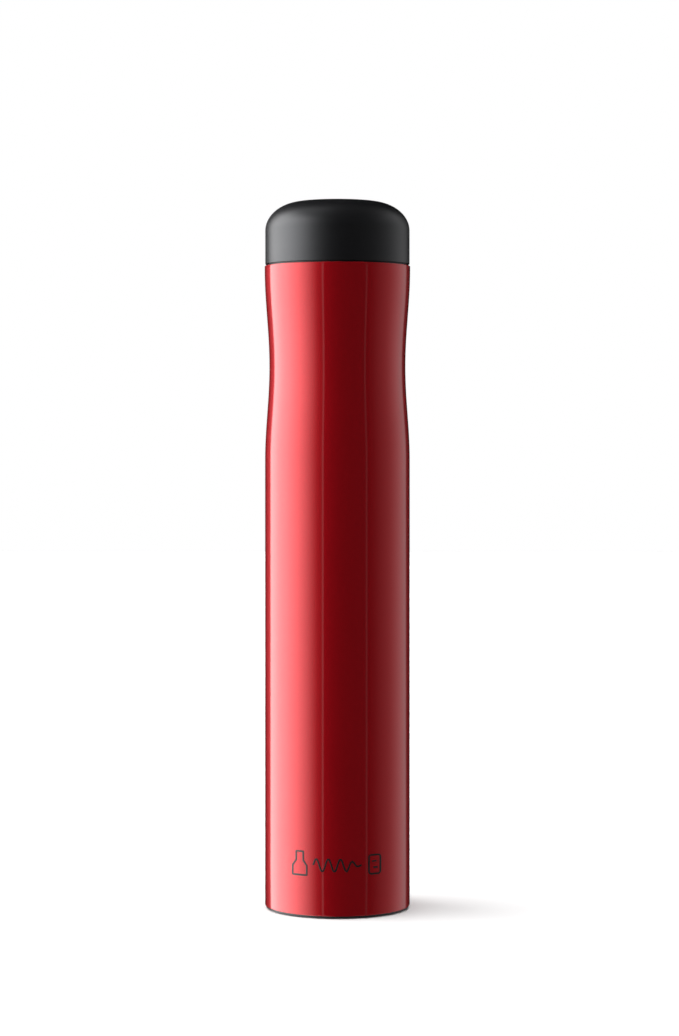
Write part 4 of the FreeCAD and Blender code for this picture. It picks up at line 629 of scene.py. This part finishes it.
plastics = {
    "trim_black": moulded("black_trim", (0.013, 0.013, 0.014), 0.46),
    "soft_rubber": moulded("soft_rubber", (0.017, 0.017, 0.018), 0.78, 0.4, 0.012),
    "bore_plastic": moulded("smooth_bore", (0.030, 0.031, 0.033), 0.34, 0.5, 0.003),
    "chassis_plastic": moulded("grey_chassis", (0.060, 0.062, 0.066), 0.5, 0.3, 0.006),
    "hub_plastic": moulded("glass_filled_hub", (0.022, 0.022, 0.024), 0.42, 0.15, 0.006),
    "gear_acetal": moulded("white_acetal", (0.74, 0.72, 0.66), 0.36, 0.6, 0.003),
    "gear_housing_nylon": moulded("black_nylon", (0.024, 0.024, 0.026), 0.44, 0.2, 0.006),
    "motor_nylon": moulded("motor_end_nylon", (0.016, 0.016, 0.017), 0.4),
    "lever_acetal": moulded("ivory_acetal", (0.66, 0.62, 0.52), 0.34, 0.6, 0.003),
    "switch_black": moulded("switch_case", (0.015, 0.015, 0.016), 0.38),
    "plunger_red": moulded("red_plunger", (0.42, 0.016, 0.014), 0.35, 0.3, 0.003),
    "component_black": moulded("component_case", (0.020, 0.020, 0.022), 0.45, 0.12, 0.004),
    "magnet_ferrite": moulded("ferrite", (0.045, 0.044, 0.043), 0.66, 0.12, 0.012),
    "lead_insulation": moulded("red_insulation", (0.40, 0.014, 0.012), 0.42, 0.8, 0.004),
}
print(len(plastics), "plastics")

# %% [markdown]
# ## Metals
# Metal keeps the marks of how it was worked. A turned pin has fine rings, a drawn can has marks along its
# length, and a pressed and sintered part has an open grain. The same noise gives all three: it is stretched
# round the axis, along it, or not at all.

# %% Worked metals
ROUND_THE_AXIS = (0.06, 0.06, 1)
ALONG_THE_AXIS = (1, 1, 0.05)
NO_LAY = (1, 1, 1)


def worked_metal(name, colour, roughness, lay=NO_LAY, mark_mm=0.16, depth_mm=0.002, metallic=1.0):
    """A bare or plated metal with the marks of its making."""
    made, shader = finish(name, colour, roughness, metallic)
    dark = [0.82 * channel for channel in colour]
    tint(made, noise(made, 3.0, 4.0), dark, colour, shader.inputs["Base Color"])
    marks = noise(made, mark_mm, 2.0, lay)
    spread(made, marks, roughness - 0.07, roughness + 0.09, shader.inputs["Roughness"])
    relief(made, shader, marks, depth_mm)
    return made


metals = {
    "screw_steel": worked_metal("zinc_plated_screws", (0.52, 0.53, 0.55), 0.34, ROUND_THE_AXIS),
    "drive_steel": worked_metal("turned_steel", (0.50, 0.50, 0.51), 0.24, ROUND_THE_AXIS),
    "sintered_steel": worked_metal("sintered_steel", (0.26, 0.255, 0.25), 0.5, NO_LAY, 0.12, 0.008),
    "bush_bronze": worked_metal("oiled_bronze", (0.44, 0.27, 0.12), 0.38, NO_LAY, 0.1, 0.005),
    "pinion_brass": worked_metal("cut_brass", (0.66, 0.47, 0.19), 0.26, ALONG_THE_AXIS),
    "motor_steel": worked_metal("zinc_plated_can", (0.50, 0.50, 0.49), 0.36, ALONG_THE_AXIS, 0.3),
    "armature_metal": worked_metal("copper_windings", (0.56, 0.23, 0.11), 0.34, ALONG_THE_AXIS, 0.3, 0.02),
    "contact_nickel": worked_metal("nickelled_contacts", (0.60, 0.57, 0.51), 0.25, NO_LAY, 0.2),
    "worm_coated": worked_metal("coated_worm", (0.050, 0.050, 0.053), 0.33, NO_LAY, 0.25, 0.003, 0.55),
}
print(len(metals), "metals")

# %% [markdown]
# The control board has its green solder mask over copper, and the copper's edges show through it as lighter
# tracks. A brick pattern with thin joints gives straight tracks that meet at right angles, and a noise breaks
# them up, so that they don't read as a wall.

# %% The board's mask
def solder_mask():
    """A green mask with faint tracks under it."""
    made, shader = finish("green_solder_mask", (0.008, 0.085, 0.028), 0.3)
    tracks = add(made, "ShaderNodeTexBrick", Scale=1 / (2.6 * MM))
    tracks.inputs["Mortar Size"].default_value = 0.09
    tracks.inputs["Color1"].default_value = (0.006, 0.070, 0.022, 1)
    tracks.inputs["Color2"].default_value = (0.009, 0.095, 0.030, 1)
    tracks.inputs["Mortar"].default_value = (0.030, 0.190, 0.070, 1)
    turned = add(made, "ShaderNodeMapping", Rotation=(math.pi / 2, 0, 0))
    wire(made, place(made), turned.inputs["Vector"])
    wire(made, turned.outputs["Vector"], tracks.inputs["Vector"])
    wire(made, tracks.outputs["Color"], shader.inputs["Base Color"])
    spread(made, noise(made, 1.5), 0.24, 0.38, shader.inputs["Roughness"])
    relief(made, shader, tracks.outputs["Fac"], 0.03)
    return made


board_mask = solder_mask()
print(board_mask.name)

# %% [markdown]
# Each design solid names the slot that its finish comes from, so the finishes are handed out by slot. Three
# sets of leads share one slot, and a person who wires the opener tells them apart by colour, so two of them
# get a colour of their own.

# %% Hand out the finishes
by_slot = {**plastics, **metals, "board_green": board_mask, "sleeve_paint": candy_lacquer_finish,
           "cap_soft_touch": soft_touch_finish, "cell_jacket": plastics["trim_black"]}
by_node = {"battery_leads": moulded("black_insulation", (0.015, 0.015, 0.016), 0.42, 0.8, 0.004),
           "switch_leads": moulded("white_insulation", (0.62, 0.61, 0.58), 0.42, 0.8, 0.004)}
for part in frame["record"]["subparts"]:
    made = by_node.get(part["node"], by_slot[part["material_slot"]])
    for holder in nodes[part["node"]].material_slots:
        holder.material = made

# %% [markdown]
# The pieces made here take the finishes of what they stand for. A cell is three materials in one piece: the
# printed jacket, the copper-coloured band at its head, and bare steel at both ends.

# %% The new pieces' own finishes
pad.data.materials.append(plastics["soft_rubber"])
foot.data.materials.append(plastics["trim_black"])
signs_print.data.materials.append(moulded("dark_ink", (0.012, 0.008, 0.009), 0.4, 0.1, 0.002))
cell_finishes = [moulded("printed_jacket", (0.020, 0.021, 0.024), 0.3, 1.2, 0.004),
                 worked_metal("copper_band", (0.62, 0.32, 0.17), 0.28, ROUND_THE_AXIS),
                 worked_metal("cell_steel", (0.58, 0.58, 0.57), 0.26, NO_LAY, 0.3)]
for place_in_list, made in enumerate(cell_finishes):
    jacketed_cells.data.materials[place_in_list] = made
print(len(cell_finishes), "finishes on", jacketed_cells.name)

# %% [markdown]
# ## Studio
# A glossy round body is lit by what it reflects, so the studio is drawn as surroundings: a broad soft light
# on the left with a clean inner edge, a much dimmer one on the right, and dark flags behind, which keep the
# silhouette crisp. The camera sees plain white behind the object.

# %% Surroundings
LIGHTS = [(-180, 0.0), (-136, 0.0), (-132, 0.6), (-129, 0.74), (-118, 0.86), (-89, 0.9), (-74, 0.73),
          (-60, 0.52), (-47, 0.29), (-37, 0.1), (-32, 0.035), (-28, 0.02), (-25, 0.018), (-24.3, 0.12),
          (-22, 0.12), (-21.2, 0.0), (20, 0.004), (45.6, 0.006), (46.2, 0.045), (47.8, 0.045),
          (48.4, 0.003), (60, 0.012), (74, 0.038), (89, 0.06), (106, 0.11), (118, 0.135), (132, 0.13),
          (138, 0.11), (144, 0.0)]


def eased(world, source, span, result):
    """A value that goes softly from one result to the other while its source crosses a span."""
    ranged = add(world, "ShaderNodeMapRange", interpolation_type="SMOOTHSTEP")
    for socket, value in zip(("From Min", "From Max", "To Min", "To Max"), span + result):
        ranged.inputs[socket].default_value = value
    wire(world, source, ranged.inputs["Value"])
    return ranged.outputs["Result"]


def studio_world():
    """Soft lights painted by their bearing round the object."""
    world = bpy.data.worlds.new("studio")
    bpy.context.scene.world = world
    world.use_nodes = True
    world.node_tree.nodes.clear()
    coordinates = add(world, "ShaderNodeTexCoord")
    parts = add(world, "ShaderNodeSeparateXYZ")
    wire(world, coordinates.outputs["Generated"], parts.inputs["Vector"])
    minus_y = add(world, "ShaderNodeMath", operation="MULTIPLY")
    minus_y.inputs[1].default_value = -1
    wire(world, parts.outputs["Y"], minus_y.inputs[0])
    bearing = add(world, "ShaderNodeMath", operation="ARCTAN2")
    wire(world, parts.outputs["X"], bearing.inputs[0])
    wire(world, minus_y.outputs["Value"], bearing.inputs[1])
    turned = add(world, "ShaderNodeMapRange")
    turned.inputs["From Min"].default_value = -math.pi
    turned.inputs["From Max"].default_value = math.pi
    wire(world, bearing.outputs["Value"], turned.inputs["Value"])
    ramp = add(world, "ShaderNodeValToRGB")
    wire(world, turned.outputs["Result"], ramp.inputs["Fac"])
    elements = ramp.color_ramp.elements
    while len(elements) > 1:
        elements.remove(elements[-1])
    for k, (angle, value) in enumerate(LIGHTS):
        at = (angle + 180) / 360
        element = elements[0] if k == 0 else elements.new(at)
        element.position = at
        element.color = (value, value, value, 1)
    lights = add(world, "ShaderNodeBackground")
    wire(world, ramp.outputs["Color"], lights.inputs["Color"])
    fade = eased(world, parts.outputs["Z"], (0.5, 0.85), (5.0, 0.7))
    wire(world, fade, lights.inputs["Strength"])
    toward = add(world, "ShaderNodeVectorMath", operation="DOT_PRODUCT")
    toward.inputs[1].default_value = Vector((-1.0, 0.09, 0.08)).normalized()
    wire(world, coordinates.outputs["Generated"], toward.inputs[0])
    side = eased(world, toward.outputs["Value"], (0.78, 0.94), (0.05, 16.0))
    overhead = eased(world, parts.outputs["Z"], (0.8, 0.9), (0.0, 3.3))
    bounce = eased(world, parts.outputs["Z"], (-0.25, -0.02), (0.9, 0.0))
    above = add(world, "ShaderNodeMath", operation="ADD")
    wire(world, side, above.inputs[0])
    wire(world, overhead, above.inputs[1])
    total = add(world, "ShaderNodeMath", operation="ADD")
    wire(world, above.outputs["Value"], total.inputs[0])
    wire(world, bounce, total.inputs[1])
    plain = add(world, "ShaderNodeBackground", Color=(1, 1, 1, 1))
    wire(world, total.outputs["Value"], plain.inputs["Strength"])
    both = add(world, "ShaderNodeAddShader")
    wire(world, lights.outputs["Background"], both.inputs[0])
    wire(world, plain.outputs["Background"], both.inputs[1])
    path = add(world, "ShaderNodeLightPath")
    soft = add(world, "ShaderNodeMixShader")
    wire(world, path.outputs["Is Diffuse Ray"], soft.inputs["Fac"])
    wire(world, lights.outputs["Background"], soft.inputs[1])
    wire(world, both.outputs["Shader"], soft.inputs[2])
    white = add(world, "ShaderNodeBackground", Color=(1, 1, 1, 1), Strength=1.0)
    seen = add(world, "ShaderNodeMixShader")
    wire(world, path.outputs["Is Camera Ray"], seen.inputs["Fac"])
    wire(world, soft.outputs["Shader"], seen.inputs[1])
    wire(world, white.outputs["Background"], seen.inputs[2])
    output = add(world, "ShaderNodeOutputWorld")
    wire(world, seen.outputs["Shader"], output.inputs["Surface"])


studio_world()
print(len(LIGHTS), "stops of light round the object")

# %% [markdown]
# The floor is one sheet of pale paper. It could be seen from both sides, but then nobody could look up into
# the bore, so its back is clear. It is also left out of the reflections and of the bounced light, so that
# the painted studio alone lights the object.

# %% Floor
clear_selection()
bpy.ops.mesh.primitive_plane_add(size=6, location=(0, 0, cad_low.z))
floor = named("studio_floor")
paper, paper_shader = finish("studio_paper", (0.93, 0.93, 0.93), 0.9)
spread(paper, noise(paper, 1.5), 0.86, 0.94, paper_shader.inputs["Roughness"])
side = add(paper, "ShaderNodeNewGeometry")
clear = add(paper, "ShaderNodeBsdfTransparent")
one_sided = add(paper, "ShaderNodeMixShader")
wire(paper, side.outputs["Backfacing"], one_sided.inputs["Fac"])
wire(paper, paper_shader.outputs["BSDF"], one_sided.inputs[1])
wire(paper, clear.outputs["BSDF"], one_sided.inputs[2])
wire(paper, one_sided.outputs["Shader"], paper.node_tree.nodes["Material Output"].inputs["Surface"])
floor.data.materials.append(paper)
floor.visible_glossy = False
floor.visible_diffuse = False
print("floor at height", round(cad_low.z, 4))

# %% [markdown]
# The camera stands straight in front and level, at about two thirds of the opener's height, and a long lens
# keeps the tube's sides parallel. A tilted camera would make them lean, so the frame is shifted instead.

# %% Camera
CAMERA_DISTANCE, CAMERA_HEIGHT = 0.948, 0.162
bpy.context.scene.view_settings.view_transform = "Standard"
camera_data = bpy.data.cameras.new("studio_camera")
camera = bpy.data.objects.new("studio_camera", camera_data)
bpy.context.scene.collection.objects.link(camera)
camera.location = (0, -CAMERA_DISTANCE, CAMERA_HEIGHT)
camera.rotation_euler = (math.radians(90), 0, 0)
camera_data.lens = 94.85
camera_data.shift_x = 0.002
camera_data.shift_y = -0.075
camera_data.clip_start = 0.05
bpy.context.scene.camera = camera
print("camera", [round(value, 3) for value in camera.location], "lens", camera_data.lens)
